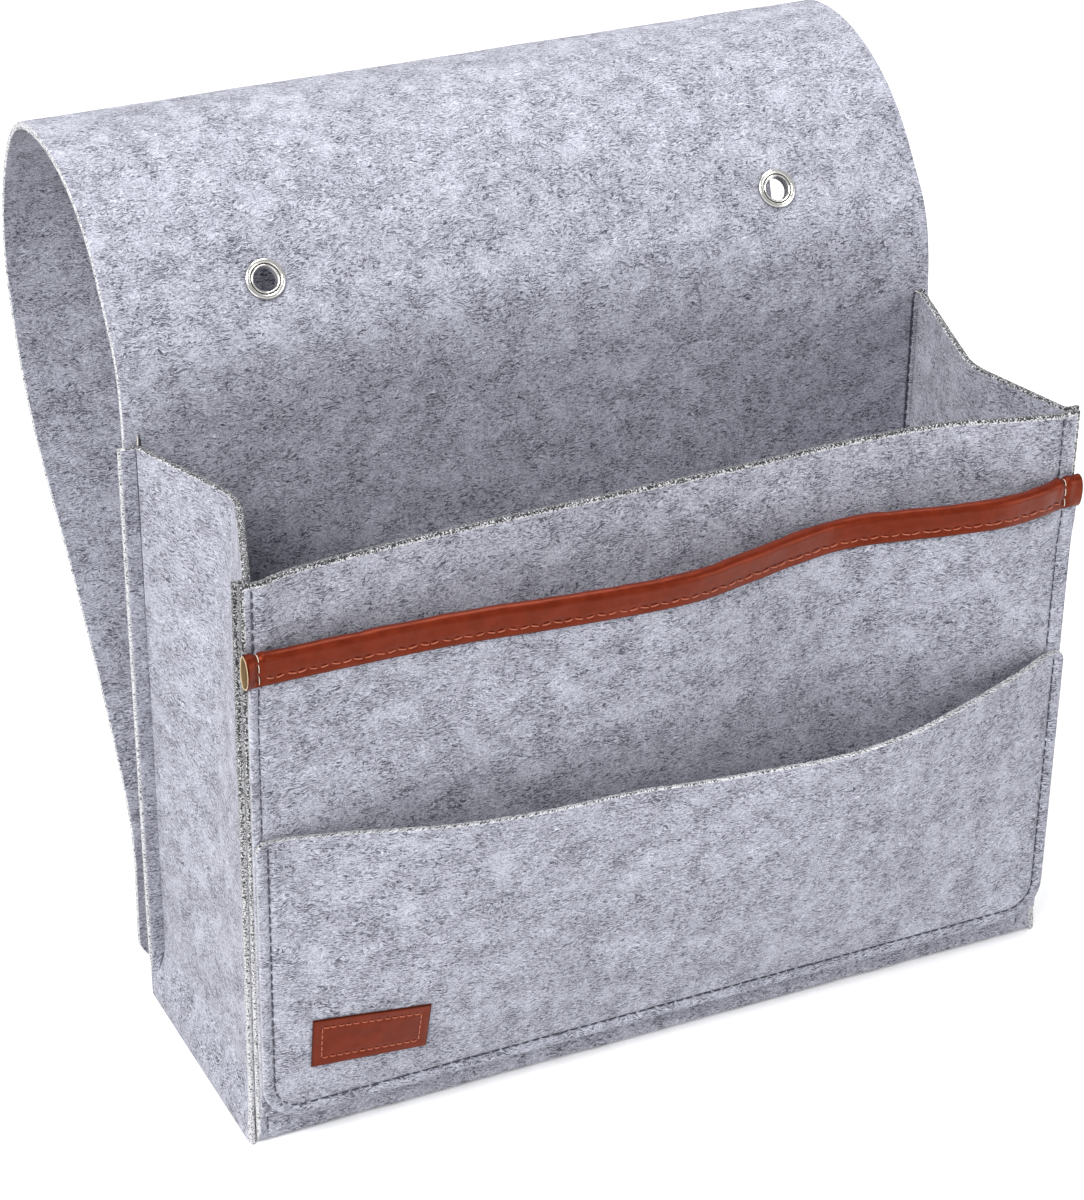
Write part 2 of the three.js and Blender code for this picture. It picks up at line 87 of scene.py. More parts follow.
# Box, made of one strip of felt with its flap
STRIP_WIDTH = 319.0
BOX_DEPTH = 106.0
FRONT_HEIGHT = 223.0
BACK_HEIGHT = 225.0
BACK_LEAN = 4.3
FOLD_RADIUS = 2.7
FRONT_BOW = 12.0
SIDE_TWIST = 3.4
SIDE_RISE = 2.2

# Gussets
FLANGE_STAND_OUT = 1.6
FRONT_FLANGE_WIDTH = 5.2
FLANGE_ROUND = 2.5
CREASE_ROUND = 1.2
BACK_CREASE = 155.3
FLARE_HEIGHT = 20.0
GUSSET_LIFT = 0.4
FOOT_FOLD_SHARES = (0.0, 0.045, 0.085)
FOOT_APEX_SHARE = 0.075
FOOT_REACH = 3.0
APEX_ROUND = 9.0
GUSSETS = {
    "left": {"side": -1, "cave_in": 18.0, "apex_share": 0.526, "back_tip": 162.4, "rise": 0.0},
    "right": {"side": 1, "cave_in": 10.9, "apex_share": 0.46, "back_tip": 158.2, "rise": 7.0},
}

# Places along a gusset's plan, which has seven stretches, and how finely each is sampled
PLAN_COUNTS = (4, 4, 24, 10, 24, 12, 4)
PLAN_ENDS = (0.03, 0.08, 6.92, 6.97)
PLAN_MIDDLE = 3.5
PLAN_BACK = 6.5
PLAN_SAMPLES = 400
TIP_DROP_PLACE = 5.3
TIP_DROP_SHARE = 0.5
TIP_RISE_POWER = 6

# Middle pocket and its binding
POCKET_WIDTH = 318.0
POCKET_FOOT = 13.4
POCKET_SEAM_HEIGHT = 18.0
MIDDLE_MOUTH = 196.6
MOUTH_BULGE = 8.0
BINDING_WIDTH = 8.4
BINDING_EASE = 18.0
BINDING_STAND_OUT = 1.2
RIGHT_STAND_OUT = 0.2

# Lower pocket
LOWER_FOOT = 12.8
LOWER_MOUTH = 128.0
LOWER_BULGE = 26.6
LOWER_CORNER = 15.0
MOUTH_CORNER = 3.5

# Label patch
PATCH_WIDTH = 42.5
PATCH_HEIGHT = 19.5
PATCH_INSET = 39.5
PATCH_RISE = 42.0
PATCH_TILT = math.radians(-2.5)

# Eyelets
EYELET_SPREAD = 201.0
EYELET_ALONG = 49.0
EYELET_FLAT = 19.0
EYELET_RADIUS = 7.4
EYELET_BORE = 4.5
EYELET_CROWN = 1.0
EYELET_WALL = 0.6
LATHE_STEPS = 72
RIM_GAP = 0.3
BEAD_GAP = 0.25
INNER_BEAD_WIDTH = 0.75
INNER_BEAD_FOOT = 0.2
INNER_BEAD_HEIGHT = 0.55
BEAD_POINTS = 15
BEAD_FULLNESS = 0.8
# How high up a bead its painted shade fades out
BEAD_BRIGHT = 0.55
HOLE_RADIUS = 5.4
WASHER_RADIUS = 7.2
WASHER_THICKNESS = 0.6
LIP_RADIUS = 6.4
LIP_DEPTH = 0.9

# Flap
CURL_LENGTH = 443.0
FLAP_CORNER = 13.0
RISE_SHARES = ((0.55, -10.5), (0.45, -22.5))
CURL_SHARES = (
    (0.089, -32), (0.099, -33), (0.06, -47.5), (0.08, -24), (0.063, -22.5),
    (0.183, -31), (0.247, 12.5), (0.09, 32.5), (0.089, 0),
)
HINGE_SHARES = (0.1, 0.235, 0.37, 0.55, 0.82)

FRONT_BOW_SHARES = (
    (-0.956, 0), (-0.92, 0.17), (-0.853, 0.37), (-0.6, 0.62), (-0.3, 0.76), (0.2, 0.87),
    (0.4, 1), (0.6, 0.97), (0.72, 0.81), (0.815, 0.42), (0.915, 0.09), (0.956, 0),
)
MOUTH_BULGE_SHARES = (
    (-0.956, 0), (-0.8, 0), (-0.545, 0.14), (-0.31, 0.66), (-0.1, 1), (0.02, 0.94),
    (0.145, 0.38), (0.25, 0), (0.58, 0), (0.665, 0.25), (0.78, 0.56), (0.89, 0.31), (0.956, 0),
)
MOUTH_TUCK_SHARES = ((0.18, 0), (0.27, 0.14), (0.38, 0.37), (0.48, 0.3), (0.57, 0.08), (0.64, 0))
LOWER_BULGE_SHARES = (
    (-0.968, 0), (-0.9, 0.06), (-0.8, 0.21), (-0.62, 0.51), (-0.495, 0.64), (-0.36, 0.715),
    (-0.175, 0.75), (-0.04, 0.85), (0.1, 0.925), (0.27, 1), (0.37, 1), (0.51, 0.9),
    (0.63, 0.715), (0.77, 0.45), (0.88, 0.2), (0.965, 0),
)
BOW_RISE_SHARE = 1.5
CAVE_FADE_SHARE = 1.3
MOUTH_OPEN_SHARE = 1.6
BELLY_SHARE = 0.75

HALF_STRIP = STRIP_WIDTH / 2
HALF_FELT = FELT / 2
FRONT_FACE = -BOX_DEPTH / 2
FOLD_HEIGHT = FOLD_RADIUS + HALF_FELT

# Seams: where they run on the left and on the right, and their stitches
SEAM_XS = (-155.7, 153.1)
DIMPLE_SHARE = 0.25
CORNER_X = 153.5
CORNER_DEPTH = 1.0
CORNER_WIDTH = 0.6
CORNER_TACKS = {"left": (-154.6, 1.2, 5.4), "right": (153.4, 3.6, 6.1)}
POCKET_SEAM_INSET = 4.2
GROOVE_DEPTH = 1.3
GROOVE_WIDTH = 0.55
DIP_SHARE = 0.4
DIP_WIDTH = 2.0
PUFF_HEIGHT = 0.3
PUFF_GAP = 2.4
STITCH_PITCH = 3.9
STITCH_RADIUS = 0.28
STITCH_LIFT = 0.2
STITCH_SINK = 0.75
STITCH_SHARE = 0.92
STITCH_TAPER = 0.45
STITCH_FLATNESS = 0.85
STITCH_AHEAD = 0.3
STITCH_RINGS = 9
STITCH_SIDES = 8
SEAM_SAMPLES = 200
TACK_GAP = 1.6
SUNK = HALF_FELT - GROOVE_DEPTH * 0.68
# Height of the unbroken dark thread line in the inner back corners, which paints their shade
CORNER_SHADE_LINE_SUNK = HALF_FELT - CORNER_DEPTH * 0.75
BACK_SEAM_START = 6.0
PATCH_STITCH_PITCH = 2.8
BACK_SEAM_INSET = 3.0
BINDING_SEAM_RISE = 2.7
PATCH_SEAM_INSET = 3.4
PATCH_WAVE = 0.06
PATCH_DENT = 0.22
PRESS_DEPTH = 0.6
PRESS_REACH = 4.0
SEAM_FADE = 2.0
TOP_FADE = 3.0
CREASE_DEPTH = 1.2
INNER_CREASE_DEPTH = 0.7
CREASE_LINE = 0.24
# Height of the crease's seam, an unbroken dark line that also paints the crease's shade
CREASE_SUNK = HALF_FELT - CREASE_DEPTH * 0.6
CREASE_SEAM_PLACE = 5.5
INNER_CREASE_PLACE = 5.2

# Sampling of the sheets, their rims, how raw these look, and the felt's small lumps:
# a pitch, a seed and a share of the height each
FINE_STEP = 1.6
FLAP_STEP = 2.2
LEATHER_STEP = 0.8
EDGE_GAPS = (0.12, 0.3, 0.7)
DENSE_GAPS = (-2.4, -1.5, -0.9, -0.45, 0, 0.45, 0.9, 1.5, 2.4)
JOIN_GAPS = (0.25, 0.6)
LEAST_GAP = 0.1
RIM_LOOPS = 3
EDGE_ROUND = 0.5
EDGE_FADE = 2.5
RIM_BULGE = 0.12
POCKET_ROUND = 0.9
LEATHER_ROUND = 0.3
RAW_REACH = 0.1
FRONT_RAW_REACH = 0.6
GUSSET_RAW_REACH = 0.35
# The leather's dark cut edge reaches further onto its faces, painting a shade line along its edges
LEATHER_EDGE_AND_SHADE_REACH = 0.35
RAW_FADE = 0.3
POCKET_RAW_SHARE = 0.15
MOUTH_RAW_SHARE = 0.6
FOOT_RAW_SHARE = 0.3
BACK_RAW_SHARE = 0.3
SLOPE_STEP = 0.01
LUMP_HEIGHT = 0.16
LUMPS = ((13, 11, 1), (4.1, 31, 3))
RAGGED = 0.16
RAGGED_PITCH = 1.9


def smooth(t):
    t = np.clip(t, 0, 1)
    return t * t * (3 - 2 * t)


def swell(gap, width):
    """1 where there is no gap, fading to 0 a few widths away."""
    return np.exp(-((gap / width) ** 2))


def spread(*values):
    """Arrays of one shape."""
    return np.broadcast_arrays(*(np.asarray(value, float) for value in values))


def unit(vectors):
    return vectors / np.linalg.norm(vectors, axis=-1, keepdims=True)


def walk(points):
    """How far each point is from the first, along the line through them all."""
    return np.concatenate([[0], np.cumsum(np.linalg.norm(np.diff(points, axis=0), axis=1))])


def along_table(shares, place):
    """Smooth curve through a table of (place, value) shares, level outside its ends."""
    places, values = np.array(shares, float).T
    slopes = np.zeros(len(places))
    slopes[1:-1] = (values[2:] - values[:-2]) / (places[2:] - places[:-2])
    place = np.clip(np.asarray(place, float), places[0], places[-1])
    right = np.clip(np.searchsorted(places, place, side="right"), 1, len(places) - 1)
    left = right - 1
    span = places[right] - places[left]
    t = (place - places[left]) / span
    rise = (values[right] - values[left]) * t * t * (3 - 2 * t)
    swing = t * (1 - t) ** 2 * slopes[left] + t * t * (t - 1) * slopes[right]
    return values[left] + rise + span * swing


def value_noise(u, v, pitch, seed):
    """Smooth noise from -1 to 1 with one swell every pitch or so."""
    size = 257
    table = np.random.default_rng(seed).random((size, size)) * 2 - 1
    u, v = np.asarray(u, float) / pitch, np.asarray(v, float) / pitch
    column, row = np.floor(u).astype(int), np.floor(v).astype(int)
    s, t = smooth(u - column), smooth(v - row)

    def along_row(row):
        left, right = table[row % size, column % size], table[row % size, (column + 1) % size]
        return left * (1 - s) + right * s

    return along_row(row) * (1 - t) + along_row(row + 1) * t


# Side profile of the strip: arcs of (length, turn) from the front's top edge
LEAN = math.atan2(BACK_LEAN, BACK_HEIGHT)
FOLD_ARC = FOLD_RADIUS * math.pi / 2
RISE_LENGTH = EYELET_ALONG - EYELET_FLAT / 2
FRONT_LENGTH = FRONT_HEIGHT - FOLD_HEIGHT
BOTTOM_LENGTH = BOX_DEPTH - 2 * FOLD_HEIGHT
BACK_LENGTH = (BACK_HEIGHT - FOLD_HEIGHT) / math.cos(LEAN)
BOX_ARCS = [
    (FRONT_LENGTH, 0), (FOLD_ARC, 90), (BOTTOM_LENGTH, 0),
    (FOLD_ARC, 90 - math.degrees(LEAN)), (BACK_LENGTH, 0),
]
STRIP_ARCS = (
    BOX_ARCS
    + [(share * RISE_LENGTH, turn) for share, turn in RISE_SHARES]
    + [(EYELET_FLAT, 0)]
    + [(share * CURL_LENGTH, turn) for share, turn in CURL_SHARES]
)
BACK_START = FRONT_LENGTH + FOLD_ARC + BOTTOM_LENGTH
BOX_TOP = sum(length for length, _ in BOX_ARCS)
CURL_START = BOX_TOP + RISE_LENGTH + EYELET_FLAT
FLAP_END = CURL_START + CURL_LENGTH
HINGES = [CURL_START + share * CURL_LENGTH for share in HINGE_SHARES]
FLAP_PULL = 1.6
FLAP_PULL_ALONG = CURL_START + 35
FLAP_PULL_REACH = 45


def arc_chord(length, bend):
    return length * np.sinc(np.asarray(bend, float) / 2 / math.pi)


def walk_arcs():
    """Where each arc starts, how it heads there, and its bend per millimetre."""
    starts, states, along = [], [], 0.0
    y, z, heading = FRONT_FACE + HALF_FELT, FRONT_HEIGHT, -math.pi / 2
    for length, turn in STRIP_ARCS + [(1.0, 0)]:
        bend = math.radians(turn)
        starts.append(along)
        states.append((y, z, heading, bend / length))
        chord = float(arc_chord(length, bend))
        y += chord * math.cos(heading + bend / 2)
        z += chord * math.sin(heading + bend / 2)
        heading += bend
        along += length
    return np.array(starts), np.array(states)


ARC_STARTS, ARC_STATES = walk_arcs()


def profile_at(distance):
    distance = np.asarray(distance, float)
    arc = np.clip(np.searchsorted(ARC_STARTS, distance, side="right") - 1, 0, len(ARC_STARTS) - 1)
    y, z, heading, rate = np.moveaxis(ARC_STATES[arc], -1, 0)
    walked = distance - ARC_STARTS[arc]
    bend = rate * walked
    chord = arc_chord(walked, bend)
    way = heading + bend / 2
    return y + chord * np.cos(way), z + chord * np.sin(way), heading + bend


def twist_at(z):
    return SIDE_TWIST * np.clip((z - FOLD_HEIGHT) / (BACK_HEIGHT - FOLD_HEIGHT), 0, 1)


def strip_point(x, distance):
    """Middle surface of the strip, from millimetres across and along it."""
    x, distance = spread(x, distance)
    y, z, _ = profile_at(distance)
    across = x / HALF_STRIP
    rise = np.clip((z - FOLD_HEIGHT) / FRONT_LENGTH, 0, 1)
    bow = FRONT_BOW * along_table(FRONT_BOW_SHARES, across) * rise ** BOW_RISE_SHARE
    shift = np.where(distance < FRONT_LENGTH, bow, 0)
    shift = np.where(distance > BACK_START, -twist_at(z) * across, shift)
    shift = np.where(distance > BOX_TOP, -SIDE_TWIST * across, shift)
    lift = SIDE_RISE * across * smooth((distance - BOX_TOP) / RISE_LENGTH)
    drawn_in = FLAP_PULL * swell(distance - FLAP_PULL_ALONG, FLAP_PULL_REACH)
    x = x - drawn_in * np.clip(across, 0, 1) ** 3
    return np.stack([x, y + shift, z + lift], -1)


def back_middle(x, z):
    rise = np.clip((z - FOLD_HEIGHT) / (BACK_HEIGHT - FOLD_HEIGHT), 0, 1)
    return BOX_DEPTH / 2 - HALF_FELT + BACK_LEAN * rise - twist_at(z) * x / HALF_STRIP


def gusset_stops(shape, z):
    """Plan of a gusset at one height: the ends of its eight straights and bends."""
    tip = HALF_STRIP + FLANGE_STAND_OUT
    front = FRONT_FACE + FELT + SEAT + HALF_FELT

    def back_at(x):
        return back_middle(shape["side"] * x, z) - FELT - SEAT

    cave = shape["cave_in"] * np.clip(z / FRONT_HEIGHT, 0, 1) ** CAVE_FADE_SHARE
    apex = np.array([BACK_CREASE - cave, front + (back_at(BACK_CREASE) - front) * shape["apex_share"]])
    front_crease = np.array([tip - FRONT_FLANGE_WIDTH, front])
    back_crease = np.array([BACK_CREASE, back_at(BACK_CREASE)])
    front_tip = np.array([tip, front])
    back_tip = np.array([shape["back_tip"], back_at(shape["back_tip"])])

    def reach(start, towards, distance):
        return start + unit(towards - start) * distance

    stops = [
        front_tip,
        reach(front_crease, front_tip, FLANGE_ROUND),
        reach(front_crease, apex, FLANGE_ROUND),
        reach(apex, front_crease, APEX_ROUND),
        reach(apex, back_crease, APEX_ROUND),
        reach(back_crease, apex, CREASE_ROUND),
        reach(back_crease, back_tip, CREASE_ROUND),
        back_tip,
    ]
    return stops, {1: front_crease, 3: apex, 5: back_crease}


def gusset_point(shape, place, z):
    """Middle surface of a gusset. place runs from 0 to 7 along the stretches of its plan.
    Towards its foot it flattens out over the bottom's edge."""
    place, z = spread(place, z)
    out = np.zeros(place.shape + (3,))
    aft = [1 - share for share in (*FOOT_FOLD_SHARES, 1 - shape["apex_share"] - FOOT_APEX_SHARE)]
    foot_shares = [*FOOT_FOLD_SHARES, shape["apex_share"] - FOOT_APEX_SHARE, *aft[::-1]]
    for height in np.unique(z):
        stops, bends = gusset_stops(shape, height)
        row = z == height
        here = place[row]
        stretch = np.clip(np.floor(here), 0, 6).astype(int)
        t = (here - stretch)[:, None]
        start, end = np.array(stops)[stretch], np.array(stops)[stretch + 1]
        plan = start + (end - start) * t
        for index, bend in bends.items():
            bent = stretch == index
            first = start[bent] + (bend - start[bent]) * t[bent]
            second = bend + (end[bent] - bend) * t[bent]
            plan[bent] = first + (second - first) * t[bent]
        along = np.interp(here, range(len(foot_shares)), foot_shares)[:, None]
        foot_start = stops[0] - np.array([0, FOOT_REACH])
        foot = foot_start + (stops[-1] - foot_start) * along
        foot[:, 0] = HALF_STRIP + SEAT + HALF_FELT
        plan += (foot - plan) * smooth((FLARE_HEIGHT - height) / (FLARE_HEIGHT - FELT - SEAT))
        rise = smooth((here - PLAN_MIDDLE) / 2) - TIP_DROP_SHARE * smooth(here - TIP_DROP_PLACE)
        rise *= shape["rise"] * (height / FRONT_HEIGHT) ** TIP_RISE_POWER
        out[row] = np.stack([shape["side"] * plan[:, 0], plan[:, 1], z[row] + rise], -1)
    return out


# Ways that seams face
FRONTWARD = (0, -1, 0)
BACKWARD = (0, 1, 0)

# The binding's fold over the mouth, its open ends and its bar tacks
WRAP_RADIUS = HALF_FELT + SEAT + LEATHER / 2
WRAP_LENGTH = math.pi * WRAP_RADIUS
BINDING_TOTAL = 2 * BINDING_WIDTH + WRAP_LENGTH
BINDING_ENDS = (-HALF_STRIP - BINDING_STAND_OUT, HALF_STRIP + RIGHT_STAND_OUT)
LOOP_STARTS = (-156.8, 155.0)
LOOP_FRONT = 4.2
LOOP_BACK = 2.6
LOOP_HEIGHT = 6.0
LOOP_RISE = 0.9
LOOP_GAP = 0.06
TAB_FRONT = 3.0
TAB_OPEN = 0.6
TACK_XS = (-156.2, 152.4)
TACK_PITCHES = (4.9, 3.4)


# How the binding's leather swells, and how its seam and bar tacks draw it in
BINDING_WAVES = ((7.5, 0.24, 77), (2.6, 0.09, 78))
BINDING_DENT, BINDING_DENT_WIDTH = 0.28, 0.9
PUCKER_HEIGHT, PUCKER_RISE, PUCKER_WIDTH = 0.1, 2.0, 2.5
PINCH_PUFF, PINCH_PUFF_GAP, PINCH_PUFF_WIDTH = 0.3, 2.2, 1.2
PINCH_DEPTH, PINCH_WIDTH, PINCH_REACH = 0.45, 0.8, 3.0

BINDING_FOOT = MIDDLE_MOUTH - BINDING_WIDTH
EASE_START = BINDING_FOOT - BINDING_EASE

# The lower pocket's seam, which runs round it in a U
U_SEAM_HALF = POCKET_WIDTH / 2 - POCKET_SEAM_INSET
U_SEAM_CORNER = LOWER_CORNER - POCKET_SEAM_INSET
U_SEAM_FOOT = LOWER_FOOT + POCKET_SEAM_INSET
U_SEAM_SHARE = 0.9


def middle_point(x, z):
    x, z = spread(x, z)
    across = x / HALF_STRIP
    rise = np.clip((z - POCKET_SEAM_HEIGHT) / (MIDDLE_MOUTH - POCKET_SEAM_HEIGHT), 0, 1)
    bulge = MOUTH_BULGE * along_table(MOUTH_BULGE_SHARES, across)
    tuck = FRONT_BOW * along_table(MOUTH_TUCK_SHARES, across)
    stand_off = (LEATHER + SEAT) * smooth((z - EASE_START) / BINDING_EASE)
    y = FRONT_FACE - SEAT - HALF_FELT - stand_off + (tuck - bulge) * rise ** MOUTH_OPEN_SHARE
    return np.stack([x, y, z], -1)


def lower_point(x, z):
    x, z = spread(x, z)
    opening = LOWER_MOUTH - POCKET_SEAM_HEIGHT
    rise = np.clip((z - POCKET_SEAM_HEIGHT) / opening, 0, 1)
    belly = BELLY_SHARE * np.sin(rise * math.pi / 2) + (1 - BELLY_SHARE) * rise
    bulge = LOWER_BULGE * along_table(LOWER_BULGE_SHARES, x / HALF_STRIP)
    drop = 1 - np.sqrt(1 - (bulge / opening) ** 2)
    y = FRONT_FACE - SEAT - FELT - SEAT - HALF_FELT - bulge * belly
    return np.stack([x, y, z - rise * opening * drop], -1)


def lower_width(z):
    """Half the lower pocket's width, drawn in at its rounded corners."""
    below = np.clip(LOWER_FOOT + LOWER_CORNER - z, 0, LOWER_CORNER)
    above = np.clip(z - LOWER_MOUTH + MOUTH_CORNER, 0, MOUTH_CORNER)
    drawn_in = LOWER_CORNER - np.sqrt(LOWER_CORNER ** 2 - below ** 2)
    drawn_in = drawn_in + MOUTH_CORNER - np.sqrt(MOUTH_CORNER ** 2 - above ** 2)
    return POCKET_WIDTH / 2 - drawn_in


def surface(point, u, v):
    """Points of a sheet, its unit normals and its slopes along u and v."""
    along_u = point(u + SLOPE_STEP, v) - point(u - SLOPE_STEP, v)
    along_v = point(u, v + SLOPE_STEP) - point(u, v - SLOPE_STEP)
    return point(u, v), unit(np.cross(along_u, along_v)), along_u, along_v


def facing(point, u, v, towards):
    """Points of a sheet, and its normals on the side that faces one way."""
    at, normal, _, _ = surface(point, u, v)
    return at, normal * np.where((normal * np.array(towards)).sum(-1, keepdims=True) < 0, -1, 1)


def places(start, end, step, soft_start=True, soft_end=True, dense=()):
    """Places from start to end, closer together at soft edges and around dense places."""
    count = max(2, int(round((end - start) / step)))
    found = list(np.linspace(start, end, count + 1))
    found += [start + gap for gap in EDGE_GAPS if soft_start]
    found += [end - gap for gap in EDGE_GAPS if soft_end]
    found += [middle + gap for middle in dense for gap in DENSE_GAPS]
    found = np.unique(np.round([place for place in found if start <= place <= end], 4))
    keep = [found[0]]
    for place in found[1:-1]:
        if place - keep[-1] > LEAST_GAP and end - place > LEAST_GAP:
            keep.append(place)
    return np.array(keep + [found[-1]])


def thinned(values, least):
    """Sorted values without those that follow another too closely."""
    return values[np.concatenate([[True], np.diff(values) > least])]


def turned_out(points, quads):
    """Quads of a closed mesh, with their outer sides outward."""
    corner = points[quads]
    volume = (corner[:, 0] * np.cross(corner[:, 1], corner[:, 2])).sum()
    volume += (corner[:, 0] * np.cross(corner[:, 2], corner[:, 3])).sum()
    return quads[:, ::-1] if volume < 0 else quads


def link(name, points, face_sets, attributes, materials, slots=None):
    """Mesh object in metres, from millimetre points and sets of faces with equal corner counts."""
    mesh = bpy.data.meshes.new(name)
    corners = np.concatenate([np.asarray(faces, np.int32).ravel() for faces in face_sets])
    counts = np.concatenate([np.full(len(faces), np.shape(faces)[1], np.int32) for faces in face_sets])
    mesh.vertices.add(len(points))
    mesh.vertices.foreach_set("co", (np.asarray(points, np.float32) * MM).ravel())
    mesh.loops.add(len(corners))
    mesh.loops.foreach_set("vertex_index", corners)
    mesh.polygons.add(len(counts))
    mesh.polygons.foreach_set("loop_start", np.cumsum(counts, dtype=np.int32) - counts)
    mesh.polygons.foreach_set("use_smooth", np.full(len(counts), True))
    if slots is not None:
        mesh.polygons.foreach_set("material_index", np.asarray(slots, np.int32))
    for key, values in attributes.items():
        values = np.asarray(values, np.float32)
        kind, field = ("FLOAT_VECTOR", "vector") if values.ndim == 2 else ("FLOAT", "value")
        mesh.attributes.new(key, kind, "POINT").data.foreach_set(field, values.ravel())
    mesh.update()
    mesh.validate()
    for material in materials:
        mesh.materials.append(material)
    obj = bpy.data.objects.new(name, mesh)
    bpy.context.scene.collection.objects.link(obj)
    return obj


def sheet_mesh(point, us, vs, thickness, relief, seed, soft=(True,) * 4, ragged=RAGGED,
               round_by=EDGE_ROUND, raw=RAW_REACH, raw_share=1.0):
    """Points, quads, kinds of quads and attributes of a closed sheet. soft says which of its
    four edges (first u, last u, first v, last v) are rounded cut edges, raw how far their cut
    fibres reach onto the faces, and raw_share how much they show."""
    u, v = np.meshgrid(us, vs)
    at, normal, along_u, along_v = surface(point, u, v)
    edge_gap = np.full(u.shape, np.inf)
    for is_soft, gap in zip(soft, (u - us[0], us[-1] - u, v - vs[0], vs[-1] - v)):
        if is_soft:
            edge_gap = np.minimum(edge_gap, gap)
    inset = np.clip(round_by - edge_gap, 0, round_by)
    drop = round_by - np.sqrt(round_by ** 2 - inset ** 2)
    faces, cloth = [], []
    for side in (1, -1):
        lump = relief(u, v, side)
        for pitch, key, part in LUMPS:
            lump = lump + LUMP_HEIGHT / part * value_noise(u, v, pitch, seed + key + side) * thickness / FELT
        lump = lump * smooth(edge_gap / EDGE_FADE)
        faces.append(at + normal * (side * (thickness / 2 - drop + lump))[..., None])
        cloth.append(np.stack([u, v, np.full(u.shape, side * thickness / 2)], -1))
    rows, columns = u.shape
    ring = [(0, c) for c in range(columns)] + [(r, columns - 1) for r in range(1, rows)]
    ring += [(rows - 1, c) for c in range(columns - 2, -1, -1)] + [(r, 0) for r in range(rows - 2, 0, -1)]
    r, c = np.array(ring).T
    out = np.zeros((len(r), 3))
    for on_edge, way, is_soft in (
        (c == 0, -along_u, soft[0]), (c == columns - 1, along_u, soft[1]),
        (r == 0, -along_v, soft[2]), (r == rows - 1, along_v, soft[3]),
    ):
        out += np.where((on_edge & is_soft)[:, None], unit(way[r, c]), 0)
    points = [face.reshape(-1, 3) for face in faces]
    coords = [face.reshape(-1, 3) for face in cloth]
    girth = walk(at[r, c])
    for loop in range(1, RIM_LOOPS):
        t = loop / RIM_LOOPS
        bulge = RIM_BULGE + ragged * value_noise(girth, np.full(len(r), loop * 9.0), RAGGED_PITCH, seed + 5)
        points.append(faces[0][r, c] * (1 - t) + faces[1][r, c] * t + out * bulge[:, None])
        coords.append(cloth[0][r, c] * (1 - t) + cloth[1][r, c] * t)
    grid = np.arange(rows * columns).reshape(rows, columns)
    quads = [np.stack([grid[:-1, :-1], grid[:-1, 1:], grid[1:, 1:], grid[1:, :-1]], -1).reshape(-1, 4)]
    quads.append(quads[0][:, [0, 3, 2, 1]] + rows * columns)
    first_loop = 2 * rows * columns
    loops = [grid[r, c]]
    loops += [first_loop + len(r) * k + np.arange(len(r)) for k in range(RIM_LOOPS - 1)]
    loops.append(grid[r, c] + rows * columns)
    for above, below in zip(loops, loops[1:]):
        quads.append(np.stack([above, below, np.roll(below, -1), np.roll(above, -1)], -1))
    shares = np.broadcast_to(raw_share, u.shape)
    fringe = (shares * (1 - smooth((edge_gap - raw) / RAW_FADE))).ravel()
    cut = shares[r, c] * (np.linalg.norm(out, axis=1) > 0.5)
    rim = np.concatenate([fringe, fringe, np.tile(cut, RIM_LOOPS - 1)])
    rim_kinds = np.where(np.tile((c == 0) | (c == columns - 1), RIM_LOOPS), 2, 3)
    kinds = np.concatenate([np.repeat((0, 1), len(quads[0])), rim_kinds])
    points = np.concatenate(points)
    quads = turned_out(points, np.concatenate(quads))
    return points, quads, kinds, {"cloth": np.concatenate(coords), "rim": rim}


class Nodes:
    """Short names for building a material's nodes, from values and other nodes' outputs."""

    def __init__(self, name):
        self.material = bpy.data.materials.new(name)
        self.material.use_nodes = True
        self.tree = self.material.node_tree
        self.tree.nodes.clear()
        self.shader = self.tree.nodes.new("ShaderNodeBsdfPrincipled")
        output = self.tree.nodes.new("ShaderNodeOutputMaterial")
        self.tree.links.new(self.shader.outputs[0], output.inputs[0])

    def fill(self, node, values):
        for key, value in values.items():
            if isinstance(value, bpy.types.NodeSocket):
                self.tree.links.new(value, node.inputs[key])
            elif value is not None:
                node.inputs[key].default_value = value

    def shade(self, values):
        """Fills the shader's own sockets, and gives the material."""
        self.fill(self.shader, values)
        return self.material

    def add(self, kind, values=(), output=0, **settings):
        node = self.tree.nodes.new(kind)
        for key, value in settings.items():
            setattr(node, key, value)
        self.fill(node, dict(values))
        return node.outputs[output]

    def attribute(self, name, output="Vector"):
        return self.add("ShaderNodeAttribute", (), output, attribute_name=name)

    def math(self, operation, a, b=None, c=None, clamp=False):
        return self.add("ShaderNodeMath", {0: a, 1: b, 2: c}, operation=operation, use_clamp=clamp)

    def vector(self, operation, a, b=None, scale=None):
        return self.add("ShaderNodeVectorMath", {0: a, 1: b, "Scale": scale}, operation=operation)

    def mapping(self, vector, turn=0.0, scale=(1, 1, 1), place=(0, 0, 0)):
        values = {"Vector": vector, "Rotation": (0, 0, turn), "Scale": scale, "Location": place}
        return self.add("ShaderNodeMapping", values)

    def noise(self, vector, scale, detail=2.0, roughness=0.5, output="Fac"):
        values = {"Vector": vector, "Scale": scale, "Detail": detail, "Roughness": roughness}
        return self.add("ShaderNodeTexNoise", values, output)

    def ramp(self, value, low, high):
        values = {"Value": value, "From Min": low, "From Max": high}
        return self.add("ShaderNodeMapRange", values, interpolation_type="SMOOTHSTEP")

    def mix(self, factor, a, b):
        return self.add("ShaderNodeMix", {"Factor": factor, 6: a, 7: b}, 2, data_type="RGBA")

    def bump(self, height, strength, distance):
        return self.add("ShaderNodeBump", {"Height": height, "Strength": strength, "Distance": distance})


def colour(red, green, blue):
    return (red, green, blue, 1.0)


